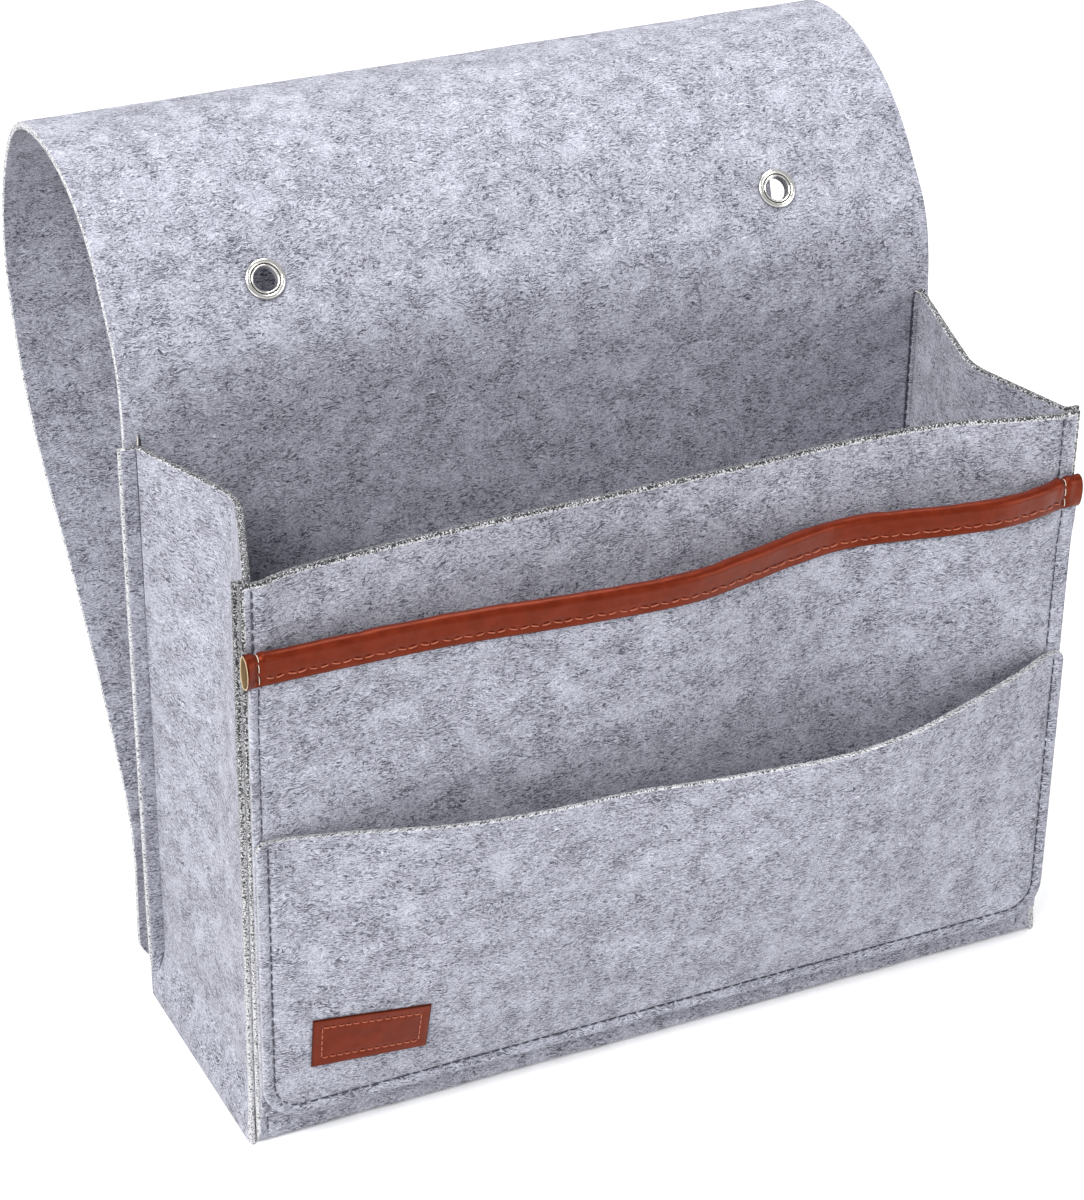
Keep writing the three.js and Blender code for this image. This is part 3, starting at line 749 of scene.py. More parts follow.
# Directions of the fibres, how long and wide they look, and how many show
FIBRE_TURNS = (0.1, 0.42, -0.3, 0.85, 1.6, 2.5)
FIBRE_SCALE = (0.42, 2.7, 1.0)
FIBRE_SHOWS = (0.55, 0.64)
BUNCH_SHOWS = (0.43, 0.62)
PALE_FIBRE_SHOWS = (0.58, 0.72)
SPECK_SHOWS = (0.55, 0.64)
PEPPER_SHOWS = (0.37, 0.44)

FELT_PALE = colour(0.585, 0.595, 0.685)
FELT_CLOUDED = colour(0.47, 0.475, 0.555)
FELT_GRAIN = colour(0.225, 0.227, 0.272)
FELT_GRIT = colour(0.30, 0.302, 0.355)
FELT_BRIGHT = colour(0.74, 0.745, 0.83)
FELT_DARK = colour(0.04, 0.042, 0.058)
RAW_PALE = colour(0.6, 0.6, 0.62)
RAW_DARK = colour(0.02, 0.02, 0.023)


def felt_material():
    """Needled felt of pale and dark fibres, worked in millimetres of cloth."""
    n = Nodes("felt")
    cloth = n.attribute("cloth")
    sway = n.vector("SUBTRACT", n.noise(cloth, 0.14, 2, 0.5, "Color"), (0.5, 0.5, 0.5))
    flow = n.vector("ADD", cloth, n.vector("SCALE", sway, scale=5.0))
    fibres, heights = 0.0, 0.0
    for index, turn in enumerate(FIBRE_TURNS):
        line = n.noise(n.mapping(flow, turn, FIBRE_SCALE, (7.3 * index, 3.1 * index, 0)), 1.0, 1.6, 0.6)
        bunch = n.noise(n.mapping(cloth, place=(31.0 * index, 17.0 * index, 0)), 0.095, 3, 0.62)
        fibre = n.math("MULTIPLY", n.ramp(line, *FIBRE_SHOWS), n.ramp(bunch, *BUNCH_SHOWS))
        fibres = n.math("MAXIMUM", fibres, fibre)
        heights = n.math("ADD", heights, line)
    pale_line = n.noise(n.mapping(flow, 0.5, FIBRE_SCALE, (91, 53, 0)), 1.0, 2, 0.6)
    grain = n.noise(flow, 1.45, 3, 0.8)
    grit = n.ramp(n.noise(cloth, 2.6, 1, 0.6), 0.3, 0.7)
    cloud = n.ramp(n.noise(cloth, 0.055, 4, 0.62), 0.3, 0.7)
    specks = n.math("MULTIPLY", n.ramp(n.noise(flow, 1.05, 3, 0.7), *SPECK_SHOWS), cloud)
    tone = n.mix(n.ramp(grain, 0.33, 0.64), FELT_GRAIN, n.mix(cloud, FELT_PALE, FELT_CLOUDED))
    tone = n.mix(n.math("MULTIPLY", grit, 0.35), tone, FELT_GRIT)
    tone = n.mix(n.math("MULTIPLY", n.ramp(pale_line, *PALE_FIBRE_SHOWS), 0.65), tone, FELT_BRIGHT)
    dark = n.math("MULTIPLY_ADD", specks, 0.95, n.math("MULTIPLY", fibres, 0.92), clamp=True)
    rim = n.attribute("rim", "Fac")
    pepper = n.math("MULTIPLY_ADD", rim, -0.15, n.noise(cloth, 1.4, 3, 0.75))
    raw = n.mix(n.ramp(pepper, *PEPPER_SHOWS), RAW_DARK, RAW_PALE)
    relief = n.math("MULTIPLY_ADD", grain, 1.6, n.math("MULTIPLY", heights, 0.3))
    relief = n.math("MULTIPLY_ADD", n.math("MULTIPLY", pepper, rim), 2.5, relief)
    return n.shade({
        "Base Color": n.mix(n.ramp(rim, 0.05, 0.3), n.mix(dark, tone, FELT_DARK), raw),
        "Roughness": 0.95,
        "Specular IOR Level": 0.12,
        "Sheen Weight": 0.15,
        "Sheen Roughness": 0.55,
        "Normal": n.bump(relief, 0.8, 0.00032),
    })


LEATHER_DEEP = colour(0.074, 0.0092, 0.0034)
LEATHER_WARM = colour(0.106, 0.0138, 0.0054)
LEATHER_PORE = colour(0.08, 0.011, 0.004)
# Dark cut edge of the leather, also used as a painted shade line along its edges
LEATHER_CUT_EDGE_AND_SHADE = colour(0.02, 0.005, 0.003)
LEATHER_GLINT = colour(1.0, 0.22, 0.1)
LEATHER_WRINKLES = (0.55, 0.12, 0.55)


def leather_material():
    n = Nodes("leather")
    cloth = n.attribute("cloth")
    swayed = n.vector("ADD", cloth, n.noise(cloth, 1.3, 2, 0.5, "Color"))
    pores = n.add(
        "ShaderNodeTexVoronoi", {"Vector": swayed, "Scale": 2.1}, "Distance", feature="DISTANCE_TO_EDGE"
    )
    cells = n.ramp(pores, 0.0, 0.16)
    tint = n.noise(cloth, 0.16, 4, 0.6)
    base = n.mix(n.ramp(tint, 0.35, 0.65), LEATHER_DEEP, LEATHER_WARM)
    creased = n.mix(n.math("MULTIPLY_ADD", cells, 0.3, 0.7), LEATHER_PORE, base)
    wrinkle = n.noise(n.mapping(cloth, scale=LEATHER_WRINKLES), 1.0, 3, 0.6)
    relief = n.math("MULTIPLY_ADD", cells, 0.2, n.math("MULTIPLY", wrinkle, 1.2))
    return n.shade({
        # The rim fringe darkens the cut edges and paints a thin shade line along them
        "Base Color": n.mix(n.math("MULTIPLY", n.attribute("rim", "Fac"), 0.75), creased, LEATHER_CUT_EDGE_AND_SHADE),
        "Roughness": n.math("MULTIPLY_ADD", tint, 0.15, 0.24),
        "Specular IOR Level": 0.55,
        "Specular Tint": LEATHER_GLINT,
        "Normal": n.bump(relief, 0.35, 0.00012),
    })


THREAD_DIM = 0.6


def thread_material(name, shade):
    n = Nodes(name)
    values = {"Vector": n.attribute("cloth"), "Scale": 1.6, "Distortion": 1.5}
    twist = n.add("ShaderNodeTexWave", values, "Fac", wave_type="BANDS", bands_direction="DIAGONAL")
    return n.shade({
        "Base Color": n.mix(twist, colour(*[part * THREAD_DIM for part in shade]), colour(*shade)),
        "Roughness": 0.7,
        "Sheen Weight": 0.2,
        "Normal": n.bump(twist, 0.5, 0.0001),
    })


NICKEL_DULL = colour(0.76, 0.75, 0.72)
NICKEL_BRIGHT = colour(0.9, 0.89, 0.86)
# Painted shade and dark reflection on the eyelets' low bead flanks, the groove between the beads and the
# outer edge
NICKEL_PAINTED_SHADE = colour(0.03, 0.03, 0.03)
SCUFFS_PER_METRE = (900, 900, 900)


def nickel_material():
    n = Nodes("nickel")
    place = n.add("ShaderNodeTexCoord", (), "Object")
    scuff = n.noise(n.mapping(place, scale=SCUFFS_PER_METRE), 1.0, 3, 0.6)
    polished = n.mix(scuff, NICKEL_DULL, NICKEL_BRIGHT)
    return n.shade({
        # Painted shade and dark reflection, mixed in from the lathe's per-ring attribute
        "Base Color": n.mix(n.attribute("painted_shade", "Fac"), polished, NICKEL_PAINTED_SHADE),
        "Metallic": 0.88,
        "Roughness": n.math("MULTIPLY_ADD", scuff, 0.12, 0.14),
        "Normal": n.bump(scuff, 0.15, 0.00004),
    })


def lining_material(name, dark, pale):
    n = Nodes(name)
    weave = n.noise(n.attribute("cloth"), 2.2, 3, 0.7)
    return n.shade({
        "Base Color": n.mix(weave, colour(*dark), colour(*pale)),
        "Roughness": 0.9,
        "Normal": n.bump(weave, 0.5, 0.0001),
    })


FELT_LOOK = felt_material()
LEATHER_LOOK = leather_material()
LINING_LOOK = lining_material("leather_back", (0.06, 0.032, 0.012), (0.26, 0.17, 0.08))
EDGE_LOOK = lining_material("leather_edge", (0.40, 0.28, 0.16), (0.66, 0.54, 0.38))
THREAD_LOOK = thread_material("thread", (0.04, 0.043, 0.07))
TACK_LOOK = thread_material("bar_tack", (0.80, 0.74, 0.62))
RUST_LOOK = thread_material("leather_thread", (0.42, 0.09, 0.032))
NICKEL_LOOK = nickel_material()


def side_seam_gap(x):
    return np.minimum(np.abs(x - SEAM_XS[0]), np.abs(x - SEAM_XS[1]))


def groove(gap):
    """What a seam does to the felt at a distance from it: a narrow groove in a wide dip,
    with the felt puffed up beside them."""
    depth = (1 - DIP_SHARE) * swell(gap, GROOVE_WIDTH) + DIP_SHARE * swell(gap, DIP_WIDTH)
    return PUFF_HEIGHT * swell(gap - PUFF_GAP, DIP_WIDTH / 2) - GROOVE_DEPTH * depth


def seam_dimples(along):
    return 1 - DIMPLE_SHARE + DIMPLE_SHARE * np.cos(2 * math.pi * along / STITCH_PITCH)


def strip_relief(x, distance, side):
    on_front = smooth((FRONT_LENGTH - distance) / SEAM_FADE)
    on_back = smooth((distance - BACK_START - FOLD_ARC) / SEAM_FADE)
    on_back = on_back * smooth((BOX_TOP + TOP_FADE - distance) / TOP_FADE)
    seam = groove(side_seam_gap(x)) * seam_dimples(distance)
    corner = -CORNER_DEPTH * swell(np.abs(x) - CORNER_X, CORNER_WIDTH) * on_back
    reach = np.hypot(np.abs(x) - EYELET_SPREAD / 2, distance - BOX_TOP - EYELET_ALONG)
    pressed = -PRESS_DEPTH * smooth((EYELET_RADIUS + PRESS_REACH - reach) / PRESS_REACH)
    return np.where(side < 0, seam * (on_front + on_back), corner) + pressed


def raw_at(z):
    """How raw the cut edges at the front corners look: less so towards the foot."""
    return FOOT_RAW_SHARE + (1 - FOOT_RAW_SHARE) * smooth(z / FRONT_HEIGHT)


def strip_sheet(start, end, step, soft_start, soft_end):
    """A stretch of the strip, from one distance along it to another. The flap's end has
    rounded corners."""
    across = places(-HALF_STRIP, HALF_STRIP, FINE_STEP, dense=(*SEAM_XS, -CORNER_X))
    along = places(start, end, step, soft_start, soft_end)
    joins = [start + gap for gap in JOIN_GAPS if not soft_start]
    joins += [end - gap for gap in JOIN_GAPS if not soft_end]
    along = np.unique(np.concatenate([along, joins]))
    is_end = end == FLAP_END
    if is_end:
        corner = FLAP_END - FLAP_CORNER + FLAP_CORNER * np.sin(np.linspace(0, math.pi / 2, 12))
        along = thinned(np.unique(np.concatenate([along, corner[1:-1]])), 0.05)

    def point(x, distance):
        if is_end:
            into = np.clip(distance - FLAP_END + FLAP_CORNER, 0, FLAP_CORNER)
            width = HALF_STRIP - FLAP_CORNER + np.sqrt(FLAP_CORNER ** 2 - into ** 2)
            x = x * width / HALF_STRIP
        return strip_point(x, distance)

    is_front = along < FRONT_LENGTH
    return sheet_mesh(
        point, across, along, FELT, strip_relief, 1, (True, True, soft_start, soft_end),
        raw=np.where(is_front, FRONT_RAW_REACH, RAW_REACH)[:, None],
        raw_share=np.where(is_front, raw_at(FRONT_HEIGHT - along), BACK_RAW_SHARE)[:, None],
    )


def sheet_piece(name, sheet, looks=(FELT_LOOK,), slots=None, offset=(0, 0, 0)):
    """Object of a closed sheet. slots maps its kinds of faces to looks: its two faces, the
    rims at its ends and the rims along it. offset moves it on the cloth that it is cut from."""
    points, quads, kinds, attributes = sheet
    attributes["cloth"] = attributes["cloth"] + np.array(offset, float)
    obj = link(name, points, [quads], attributes, looks, None if slots is None else np.array(slots)[kinds])
    return obj


def attach(obj, node, width, length, held, **rests):
    """A sheet rides on the box in its node's place. width and length, what it was cut to, are not used."""
    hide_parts(node)
    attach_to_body(obj, "caddy")


def punch(obj, side):
    """Eyelet hole through the strip."""
    at, turn = eyelet_frame(side)
    bpy.ops.mesh.primitive_cylinder_add(vertices=64, radius=HOLE_RADIUS * MM, depth=5 * FELT * MM)
    cutter = bpy.context.object
    cutter.matrix_world = Matrix.Translation(at) @ turn.to_4x4() @ Matrix.Rotation(math.pi / 2, 4, "X")
    cut = obj.modifiers.new("hole", "BOOLEAN")
    cut.operation, cut.solver, cut.object = "DIFFERENCE", "EXACT", cutter
    bpy.context.view_layer.objects.active = obj
    bpy.ops.object.modifier_apply(modifier=cut.name)
    bpy.data.objects.remove(cutter)


ACROSS = Vector((HALF_STRIP, -SIDE_TWIST, SIDE_RISE)).normalized()


def eyelet_frame(side):
    """Place of an eyelet and its turn: Y points out of the flap's front."""
    along = BOX_TOP + EYELET_ALONG
    heading = float(profile_at(along)[2])
    out = ACROSS.cross(Vector((0, math.cos(heading), math.sin(heading)))).normalized()
    place = strip_point(side * EYELET_SPREAD / 2, along)
    return Vector(place * MM), Matrix((ACROSS, out, ACROSS.cross(out))).transposed()


FIRST_CUT_LEAD = 16
FIRST_CUT = HINGES[0] - FIRST_CUT_LEAD
CUTS = [FIRST_CUT] + [(a + b) / 2 for a, b in zip(HINGES, HINGES[1:])] + [FLAP_END]


def make_felt_strip():
    obj = sheet_piece("felt_strip_cloth", strip_sheet(0, FIRST_CUT, FINE_STEP, True, False))
    for side in (-1, 1):
        punch(obj, side)
    attach(obj, "felt_strip", STRIP_WIDTH, FIRST_CUT, "folded")


def chord_ends(start, end):
    """Ends of the way along which a stretch of flap passes from one body to the next,
    square to its hinge line."""
    first, last = (Vector(strip_point(0, along) * MM) for along in (start, end))
    way = last - first
    return first, last - way.dot(ACROSS) * ACROSS


def make_flap():
    for number, hinge in enumerate(HINGES, start=1):
        start, end = CUTS[number - 1], CUTS[number]
        sheet = strip_sheet(start, end, FLAP_STEP, False, end == FLAP_END)
        obj = sheet_piece(f"flap_cloth_{number}", sheet)
        first, last = chord_ends(start, min(end, 2 * hinge - start))
        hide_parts(f"flap_stretch_{number}")
        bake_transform(obj)
        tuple(first)
        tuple(last)


def make_gusset(key, shape):
    stretches = [stretch + np.linspace(0, 1, count + 1) for stretch, count in enumerate(PLAN_COUNTS)]
    across = np.unique(np.concatenate([*stretches, PLAN_ENDS]))
    along = places(GUSSET_LIFT, FRONT_HEIGHT, FINE_STEP)
    plan_places = np.linspace(0, len(PLAN_COUNTS), PLAN_SAMPLES)
    walked = walk(gusset_point(shape, plan_places, FRONT_HEIGHT / 2))

    def point(place, z):
        return gusset_point(shape, place, z)

    def relief(place, z, side):
        is_outer = side == shape["side"]
        crease_place = CREASE_SEAM_PLACE if is_outer else INNER_CREASE_PLACE
        depth = CREASE_DEPTH if is_outer else INNER_CREASE_DEPTH
        return -depth * swell(place - crease_place, CREASE_LINE) * smooth((z - FLARE_HEIGHT) / FLARE_HEIGHT)

    is_front = across < PLAN_MIDDLE
    back_share = np.where(across > PLAN_BACK, BACK_RAW_SHARE, 1)
    sheet = sheet_mesh(
        point, across, along, FELT, relief, 200 + shape["side"],
        raw=np.where(is_front, GUSSET_RAW_REACH, 0)[None, :],
        raw_share=np.where(is_front, raw_at(along)[:, None], back_share),
    )
    cloth = sheet[3]["cloth"]
    cloth[:, 0] = np.interp(cloth[:, 0], plan_places, walked)
    obj = sheet_piece(f"gusset_{key}_cloth", sheet, offset=(400 * shape["side"], 900, 0))
    attach(
        obj, f"gusset_{key}", float(walked[-1]), FRONT_HEIGHT - GUSSET_LIFT, "folded",
        rests_on=["felt_strip"],
    )


def pocket_seam_gap(x, z):
    """Distance to the lower pocket's seam, which runs round it in a U."""
    dx = np.abs(x) - (U_SEAM_HALF - U_SEAM_CORNER)
    dz = U_SEAM_FOOT + U_SEAM_CORNER - z
    outside = np.hypot(np.maximum(dx, 0), np.maximum(dz, 0))
    return np.abs(outside + np.minimum(np.maximum(dx, dz), 0) - U_SEAM_CORNER)


def make_pocket(node, point, foot, mouth, relief, seed, offset, dense=(), mouth_raw=POCKET_RAW_SHARE):
    across = places(-POCKET_WIDTH / 2, POCKET_WIDTH / 2, FINE_STEP, dense=SEAM_XS)
    along = places(foot, mouth, FINE_STEP, dense=dense)
    raw_share = np.where(along > mouth - MOUTH_CORNER, mouth_raw, POCKET_RAW_SHARE)[:, None]
    sheet = sheet_mesh(point, across, along, FELT, relief, seed, round_by=POCKET_ROUND, raw_share=raw_share)
    obj = sheet_piece(f"{node}_cloth", sheet, offset=(0, offset, 0))
    attach(obj, node, POCKET_WIDTH, mouth - foot, "hung", rests_on=["felt_strip"])


def middle_relief(x, z, side):
    return groove(side_seam_gap(x)) * seam_dimples(z) * (side > 0)


def narrowed(x, z):
    """Place across the lower pocket, drawn in at its rounded corners."""
    return x * lower_width(z) / (POCKET_WIDTH / 2)


def lower_cut_point(x, z):
    return lower_point(narrowed(x, z), z)


def lower_relief(x, z, side):
    return groove(pocket_seam_gap(narrowed(x, z), z)) * U_SEAM_SHARE * (side > 0)


def binding_point(x, walked):
    """Leather folded over the mouth: up its back, over the top and down its front. Past the
    felt's ends it opens into a loop."""
    x, walked = spread(x, walked)
    past = walked - BINDING_WIDTH
    angle = np.clip(past / WRAP_RADIUS, 0, math.pi)
    drop = np.where(past <= 0, -past, np.maximum(0, past - WRAP_LENGTH))
    base = middle_point(x, MIDDLE_MOUTH - drop)
    up = unit((middle_point(x, MIDDLE_MOUTH) - middle_point(x, BINDING_FOOT)) * (0, 1, 1))
    back = np.stack([np.zeros_like(x), up[..., 2], -up[..., 1]], -1)
    is_wrap = ((past > 0) & (past < WRAP_LENGTH))[..., None]
    at = base + back * (WRAP_RADIUS * np.cos(angle))[..., None]
    at = at + np.where(is_wrap, up * (WRAP_RADIUS * np.sin(angle))[..., None], 0)
    turn = (walked / BINDING_TOTAL - 0.5) * 2 * (math.pi - LOOP_GAP)
    centre = middle_point(x, MIDDLE_MOUTH - BINDING_WIDTH / 2)
    wide = np.where(turn > 0, np.where(x < 0, LOOP_FRONT, TAB_FRONT), LOOP_BACK)
    loop = centre + np.stack(
        [np.zeros_like(x), -wide * np.sin(turn), LOOP_RISE + LOOP_HEIGHT * np.cos(turn)], -1
    )
    left, right = [(x - start) / (end - start) for start, end in zip(LOOP_STARTS, BINDING_ENDS)]
    opened = (smooth(left) + TAB_OPEN * smooth(right))[..., None]
    return at * (1 - opened) + loop * opened


def make_binding():
    ends = [np.linspace(start, end, 12) for start, end in zip(LOOP_STARTS, BINDING_ENDS)]
    pinched = [tack + np.linspace(-PINCH_REACH, PINCH_REACH, 13) for tack in TACK_XS]
    across = np.concatenate([places(*BINDING_ENDS, FINE_STEP), *ends, *pinched])
    across = thinned(np.unique(np.round(across, 3)), 0.12)
    wrap_end = BINDING_WIDTH + WRAP_LENGTH
    along = np.unique(np.concatenate([
        places(0, BINDING_WIDTH, 1.0, True, False),
        np.linspace(BINDING_WIDTH, wrap_end, 14),
        places(wrap_end, BINDING_TOTAL, LEATHER_STEP, False, True),
    ]))

    def relief(x, walked, side):
        past = walked - BINDING_TOTAL
        puckers = PUCKER_HEIGHT * np.sin(2 * math.pi * x / STITCH_PITCH)
        height = puckers * swell(past + PUCKER_RISE, PUCKER_WIDTH)
        height -= BINDING_DENT * swell(past + BINDING_SEAM_RISE, BINDING_DENT_WIDTH)
        for pitch, wave, seed in BINDING_WAVES:
            height += wave * value_noise(x, walked, pitch, seed)
        gap = np.minimum(np.abs(x - TACK_XS[0]), np.abs(x - TACK_XS[1]))
        height += PINCH_PUFF * swell(gap - PINCH_PUFF_GAP, PINCH_PUFF_WIDTH)
        return (height - PINCH_DEPTH * swell(gap, PINCH_WIDTH)) * (side < 0)

    sheet = sheet_mesh(
        binding_point, across, along, LEATHER, relief, 500, ragged=0.05,
        round_by=LEATHER_ROUND, raw=LEATHER_EDGE_AND_SHADE_REACH,
    )
    looks = (LEATHER_LOOK, LINING_LOOK, EDGE_LOOK)
    obj = sheet_piece("binding_leather", sheet, looks, (1, 0, 2, 0), (0, 3100, 0))
    width = BINDING_ENDS[1] - BINDING_ENDS[0]
    attach(obj, "pocket_binding", width, BINDING_TOTAL, "folded", rests_on=["middle_pocket"])


def patch_point(across, up):
    across, up = spread(across, up)
    x = -HALF_STRIP + PATCH_INSET + across * math.cos(PATCH_TILT) - up * math.sin(PATCH_TILT)
    z = PATCH_RISE + across * math.sin(PATCH_TILT) + up * math.cos(PATCH_TILT)
    at, normal = facing(lower_point, x, z, FRONTWARD)
    return at + normal * (HALF_FELT + LEATHER / 2)


def make_patch():
    half_width, half_height = PATCH_WIDTH / 2, PATCH_HEIGHT / 2
    seam_x, seam_z = half_width - PATCH_SEAM_INSET, half_height - PATCH_SEAM_INSET

    def relief(x, z, side):
        gap = np.maximum(np.abs(x) - seam_x, np.abs(z) - seam_z)
        return (PATCH_WAVE * value_noise(x, z, 3.1, 91) - PATCH_DENT * swell(gap, 0.7)) * (side > 0)

    sheet = sheet_mesh(
        patch_point, places(-half_width, half_width, LEATHER_STEP),
        places(-half_height, half_height, LEATHER_STEP), LEATHER, relief, 600, ragged=0.04,
        round_by=LEATHER_ROUND, raw=LEATHER_EDGE_AND_SHADE_REACH,
    )
    obj = sheet_piece("label_patch_leather", sheet, (LEATHER_LOOK,), offset=(0, 3300, 0))
    attach(obj, "label_patch", PATCH_WIDTH, PATCH_HEIGHT, "laid", rests_on=["lower_pocket"])
    corners = [(-seam_x, seam_z), (-seam_x, -seam_z), (seam_x, -seam_z), (seam_x, seam_z), (-seam_x, seam_z)]
    for number, (first, last) in enumerate(zip(corners, corners[1:])):
        seam(
            f"patch_seam_{number}", patch_point, *np.linspace(first, last, 40).T, FRONTWARD,
            LEATHER / 2 - 0.12, RUST_LOOK, "leather_thread", pitch=PATCH_STITCH_PITCH, radius=0.24,
        )


def stitches(name, points, normals, look, slot, pitch=STITCH_PITCH, radius=STITCH_RADIUS,
             share=STITCH_SHARE, zigzag=0.0, lift=STITCH_LIFT):
    """A row of stitches: short threads that come up out of the cloth and go back into it."""
    walked = walk(points)
    count = max(1, int(round(walked[-1] / pitch)))
    pitch = walked[-1] / count
    along = np.linspace(-1, 1, STITCH_RINGS)
    chance = np.random.default_rng(count)
    centre_of = (np.arange(count) + 0.5) * pitch + chance.uniform(-0.06, 0.06, count) * pitch
    reach = share / 2 * pitch * chance.uniform(0.9, 1.08, count)
    places_on = np.clip(centre_of[:, None] + reach[:, None] * along, 0, walked[-1])

    def read(values, place):
        return np.stack([np.interp(place, walked, values[:, axis]) for axis in range(3)], -1)

    out = read(normals, places_on)
    after = read(points, np.minimum(places_on + STITCH_AHEAD, walked[-1]))
    side = unit(np.cross(out, unit(after - read(points, np.maximum(places_on - STITCH_AHEAD, 0)))))
    height = lift - (lift + STITCH_SINK) * np.abs(along) ** 4
    sway = zigzag * np.where(np.arange(count) % 2, 1, -1)[:, None] * along
    middle = read(points, places_on) + out * height[None, :, None] + side * sway[..., None]
    girth = radius * (1 - STITCH_TAPER * along ** 4)
    turn = np.linspace(0, 2 * math.pi, STITCH_SIDES, endpoint=False)
    rim = side[:, :, None] * np.cos(turn)[:, None]
    rim = rim + out[:, :, None] * np.sin(turn)[:, None] * STITCH_FLATNESS
    tube = middle[:, :, None] + rim * girth[None, :, None, None]
    index = np.arange(tube[..., 0].size).reshape(tube.shape[:3])
    after = np.roll(index, -1, axis=2)
    walls = np.stack([index[:, :-1], after[:, :-1], after[:, 1:], index[:, 1:]], -1).reshape(-1, 4)
    caps = np.concatenate([index[:, 0, ::-1], index[:, -1]])
    cloth = np.stack(np.broadcast_arrays(places_on[:, :, None], turn * radius, 0.0), -1)
    obj = link(name, tube.reshape(-1, 3), [walls, caps], {"cloth": cloth.reshape(-1, 3)}, [look])
    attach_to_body(obj, "caddy")


def seam(name, point, us, vs, towards, height, look=THREAD_LOOK, slot="thread", **settings):
    """Row of stitches on a sheet, along places on it, at a height over its middle surface."""
    at, normal = facing(point, *(np.array(part) for part in spread(us, vs)), towards)
    stitches(name, at + normal * height, normal, look, slot, **settings)


def corner_tack(key, x, rise, place):
    """Thread that holds a gusset's top corner to the back."""
    start, normal = facing(strip_point, np.array([x]), np.array([BOX_TOP + rise]), FRONTWARD)
    start = start + normal * HALF_FELT
    end = gusset_point(GUSSETS[key], np.array([place]), FRONT_HEIGHT)
    points = start + (end - start) * np.linspace(0, 1, 12)[:, None]
    stitches(
        f"corner_tack_{key}", points, np.repeat(normal, 12, axis=0), TACK_LOOK, "bar_tack",
        pitch=20, radius=0.2, share=1.0, lift=0.5,
    )


def make_side_seams(key, side, seam_x):
    shape = GUSSETS[key]

    def flange(place, z):
        return gusset_point(shape, place, z)

    back = BACK_START + FOLD_ARC + BACK_SEAM_START
    back_x = side * (HALF_STRIP - BACK_SEAM_INSET)
    rows = (
        ("front", strip_point, seam_x, 2.2, FRONT_HEIGHT - MIDDLE_MOUTH - 1, SUNK, STITCH_SHARE),
        ("foot", strip_point, seam_x, FRONT_HEIGHT - LOWER_FOOT + 1, FRONT_LENGTH - 0.5, SUNK, STITCH_SHARE),
        ("middle", middle_point, seam_x, BINDING_FOOT - 1.5, LOWER_MOUTH + 1, SUNK, STITCH_SHARE),
        ("back", strip_point, back_x, back, BOX_TOP - 2, HALF_FELT - 0.12, STITCH_SHARE),
        # corner: an unbroken dark thread line in the inner corner between gusset and back, painting the
        # shade of the gap there
        ("corner", strip_point, side * CORNER_X, back, BOX_TOP + shape["rise"] / 2, CORNER_SHADE_LINE_SUNK, 1.0),
        # flange: a seam in the back crease, drawn as an unbroken dark line that also paints the crease's
        # shade
        ("flange", flange, CREASE_SEAM_PLACE, 2 * FLARE_HEIGHT, FRONT_HEIGHT - 1, CREASE_SUNK, 1.0),
    )
    for name, point, across, start, end, height, share in rows:
        along = np.linspace(start, end, SEAM_SAMPLES)
        towards = BACKWARD if name == "back" else FRONTWARD
        if name == "flange":
            corner_tack(key, *CORNER_TACKS[key])
        seam(f"{name}_seam_{key}", point, across, along, towards, height, share=share)


def make_seams():
    make_side_seams("left", -1, SEAM_XS[0])
    make_side_seams("right", 1, SEAM_XS[1])
    middle_x, middle_z = U_SEAM_HALF - U_SEAM_CORNER, U_SEAM_FOOT + U_SEAM_CORNER
    left = [(-U_SEAM_HALF, z) for z in np.linspace(LOWER_MOUTH - 2, middle_z, SEAM_SAMPLES)]
    left += [
        (-middle_x - U_SEAM_CORNER * math.cos(a), middle_z - U_SEAM_CORNER * math.sin(a))
        for a in np.linspace(0, math.pi / 2, 24)
    ]
    bottom = [(x, U_SEAM_FOOT) for x in np.linspace(-middle_x, middle_x, 2 * SEAM_SAMPLES)]
    right = [(-x, z) for x, z in left[::-1]]
    seam("lower_seam", lower_point, *np.array(left + bottom[1:-1] + right).T, FRONTWARD, SUNK)
    seam(
        "binding_seam", binding_point,
        np.linspace(TACK_XS[0] + TACK_GAP, TACK_XS[1] - TACK_GAP, 3 * SEAM_SAMPLES),
        BINDING_TOTAL - BINDING_SEAM_RISE, FRONTWARD, LEATHER / 2 - 0.1, RUST_LOOK, "leather_thread",
        radius=0.26, zigzag=0.35, lift=0.3,
    )
    walked = np.linspace(BINDING_WIDTH + WRAP_LENGTH / 2, BINDING_TOTAL - 0.3, 60)
    for key, tack_x, pitch in zip(GUSSETS, TACK_XS, TACK_PITCHES):
        seam(
            f"binding_tack_{key}", binding_point, tack_x, walked, FRONTWARD, LEATHER / 2 - 0.2,
            TACK_LOOK, "bar_tack", pitch=pitch, radius=0.14, share=0.98,
        )


def lathe(name, outline, side, node):
    """Turned metal part at an eyelet's place. outline is of radii, heights and how much painted shade each
    ring gets.
    """
    radii, heights, dark = np.array(outline, float).T
    turn = np.linspace(0, 2 * math.pi, LATHE_STEPS, endpoint=False)
    points = np.stack(np.broadcast_arrays(
        radii[:, None] * np.cos(turn), heights[:, None], radii[:, None] * np.sin(turn)
    ), -1)
    index = np.arange(points[..., 0].size).reshape(points.shape[:2])
    below, after = np.roll(index, -1, axis=0), np.roll(index, -1, axis=1)
    quads = np.stack([index, after, np.roll(below, -1, axis=1), below], -1).reshape(-1, 4)
    place, turned = eyelet_frame(side)
    world = points.reshape(-1, 3) @ np.array(turned).T + np.array(place) / MM
    # Painted shade per ring, for the metal's look
    attributes = {"painted_shade": np.repeat(dark, LATHE_STEPS)}
    obj = link(name, world, [turned_out(world, quads)], attributes, [NICKEL_LOOK])
    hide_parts(node)
    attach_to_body(obj, "caddy")


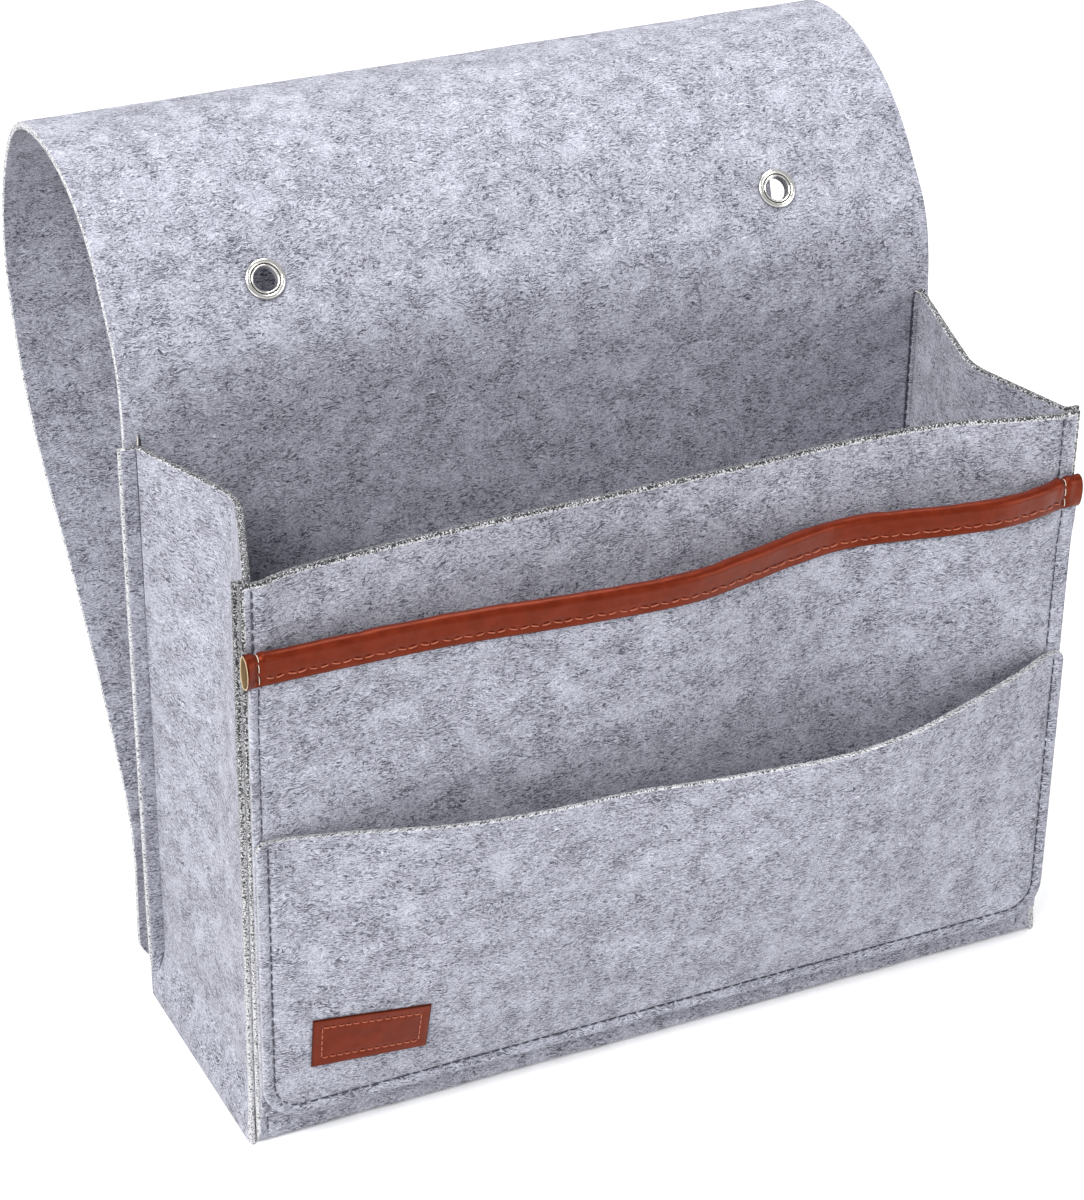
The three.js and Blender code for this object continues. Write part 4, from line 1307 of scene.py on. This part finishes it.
def make_eyelets():
    """Metal eyelets: two beads in front with painted shade in the groove between them and on
    their low flanks, and a lip rolled over a washer behind."""
    foot, face = HALF_FELT - PRESS_DEPTH + RIM_GAP, -HALF_FELT + PRESS_DEPTH
    back = face - WASHER_THICKNESS
    barrel = EYELET_BORE + EYELET_WALL
    groove_start = EYELET_BORE + INNER_BEAD_WIDTH
    beads = (
        (EYELET_BORE, groove_start, INNER_BEAD_FOOT, INNER_BEAD_HEIGHT),
        (groove_start + BEAD_GAP, EYELET_RADIUS, 0.0, EYELET_CROWN),
    )
    outline = [(EYELET_BORE, back - LIP_DEPTH, 0)]
    for start, end, base, height in beads:
        for a in np.linspace(0, math.pi, BEAD_POINTS):
            radius = (start + end) / 2 - (end - start) / 2 * math.cos(a)
            is_bore = radius < EYELET_BORE + INNER_BEAD_WIDTH / 2
            # Painted shade and dark reflection: a bead darkens where it slopes down to the groove and the
            # outer edge, but not on the bore's side
            dark = 0 if is_bore else 1 - smooth(math.sin(a) / BEAD_BRIGHT)
            outline.append((radius, foot + base + height * math.sin(a) ** BEAD_FULLNESS, dark))
    outline += [
        # The outer edge and the hidden underside carry full painted shade
        (EYELET_RADIUS - 0.3, foot - 0.15, 1), (barrel, foot - 0.15, 1), (barrel, back, 0),
        (LIP_RADIUS - 0.3, back, 0), (LIP_RADIUS, back - LIP_DEPTH / 2, 0),
        (LIP_RADIUS - 0.35, back - LIP_DEPTH, 0), (EYELET_BORE + 0.25, back - LIP_DEPTH - 0.05, 0),
    ]
    ring = [
        (HOLE_RADIUS, back, 0), (WASHER_RADIUS - 0.6, back, 0),
        (WASHER_RADIUS - 0.2, face - WASHER_THICKNESS / 2, 0),
        (WASHER_RADIUS, face + 0.1, 0), (HOLE_RADIUS, face + 0.1, 0),
    ]
    for key, shape in GUSSETS.items():
        lathe(f"eyelet_metal_{key}", outline, shape["side"], f"eyelet_{key}")
        lathe(f"washer_metal_{key}", ring, shape["side"], f"eyelet_washer_{key}")


make_felt_strip()
make_flap()
for key, gusset_shape in GUSSETS.items():
    make_gusset(key, gusset_shape)
make_pocket("middle_pocket", middle_point, POCKET_FOOT, MIDDLE_MOUTH, middle_relief, 300, 1500)
make_pocket(
    "lower_pocket", lower_cut_point, LOWER_FOOT, LOWER_MOUTH, lower_relief, 400, 2300,
    (U_SEAM_FOOT,), MOUTH_RAW_SHARE,
)
make_binding()
make_patch()
make_eyelets()
make_seams()

# Studio: floor, surroundings, and lamps with their places, sizes and powers
FLOOR_SIZE = 12
FLOOR_GREY = colour(0.9, 0.9, 0.9)
FLOOR_GLOW = 0.15
SKY = colour(0.97, 0.98, 1.0)
SKY_STRENGTH = 0.29
LIT_POINT = (0, 0.03, 0.15)
LAMPS = {
    "key": ((-3.0, -1.6, 3.4), 2.8, 288),
    "front": ((1.9, -1.9, 0.9), 1.4, 28),
    "top": ((0.2, 0.5, 2.6), 1.6, 56),
}


def make_stage():
    bpy.ops.mesh.primitive_plane_add(size=FLOOR_SIZE)
    floor = bpy.context.object
    floor.name = "floor"
    floor.data.materials.append(Nodes("floor").shade({
        "Base Color": FLOOR_GREY,
        "Roughness": 0.28,
        "Specular IOR Level": 0.4,
        "Emission Color": colour(1, 1, 1),
        "Emission Strength": FLOOR_GLOW,
    }))
    world = bpy.data.worlds.new("studio")
    world.use_nodes = True
    background = world.node_tree.nodes["Background"]
    background.inputs["Color"].default_value = SKY
    background.inputs["Strength"].default_value = SKY_STRENGTH
    bpy.context.scene.world = world
    bpy.context.scene.view_settings.view_transform = "Standard"
    for name, (place, size, power) in LAMPS.items():
        data = bpy.data.lights.new(name, "AREA")
        data.shape, data.size, data.energy = "DISK", size, power
        lamp = bpy.data.objects.new(name, data)
        lamp.location = place
        lamp.rotation_euler = (Vector(LIT_POINT) - Vector(place)).to_track_quat("-Z", "Y").to_euler()
        bpy.context.scene.collection.objects.link(lamp)


make_stage()
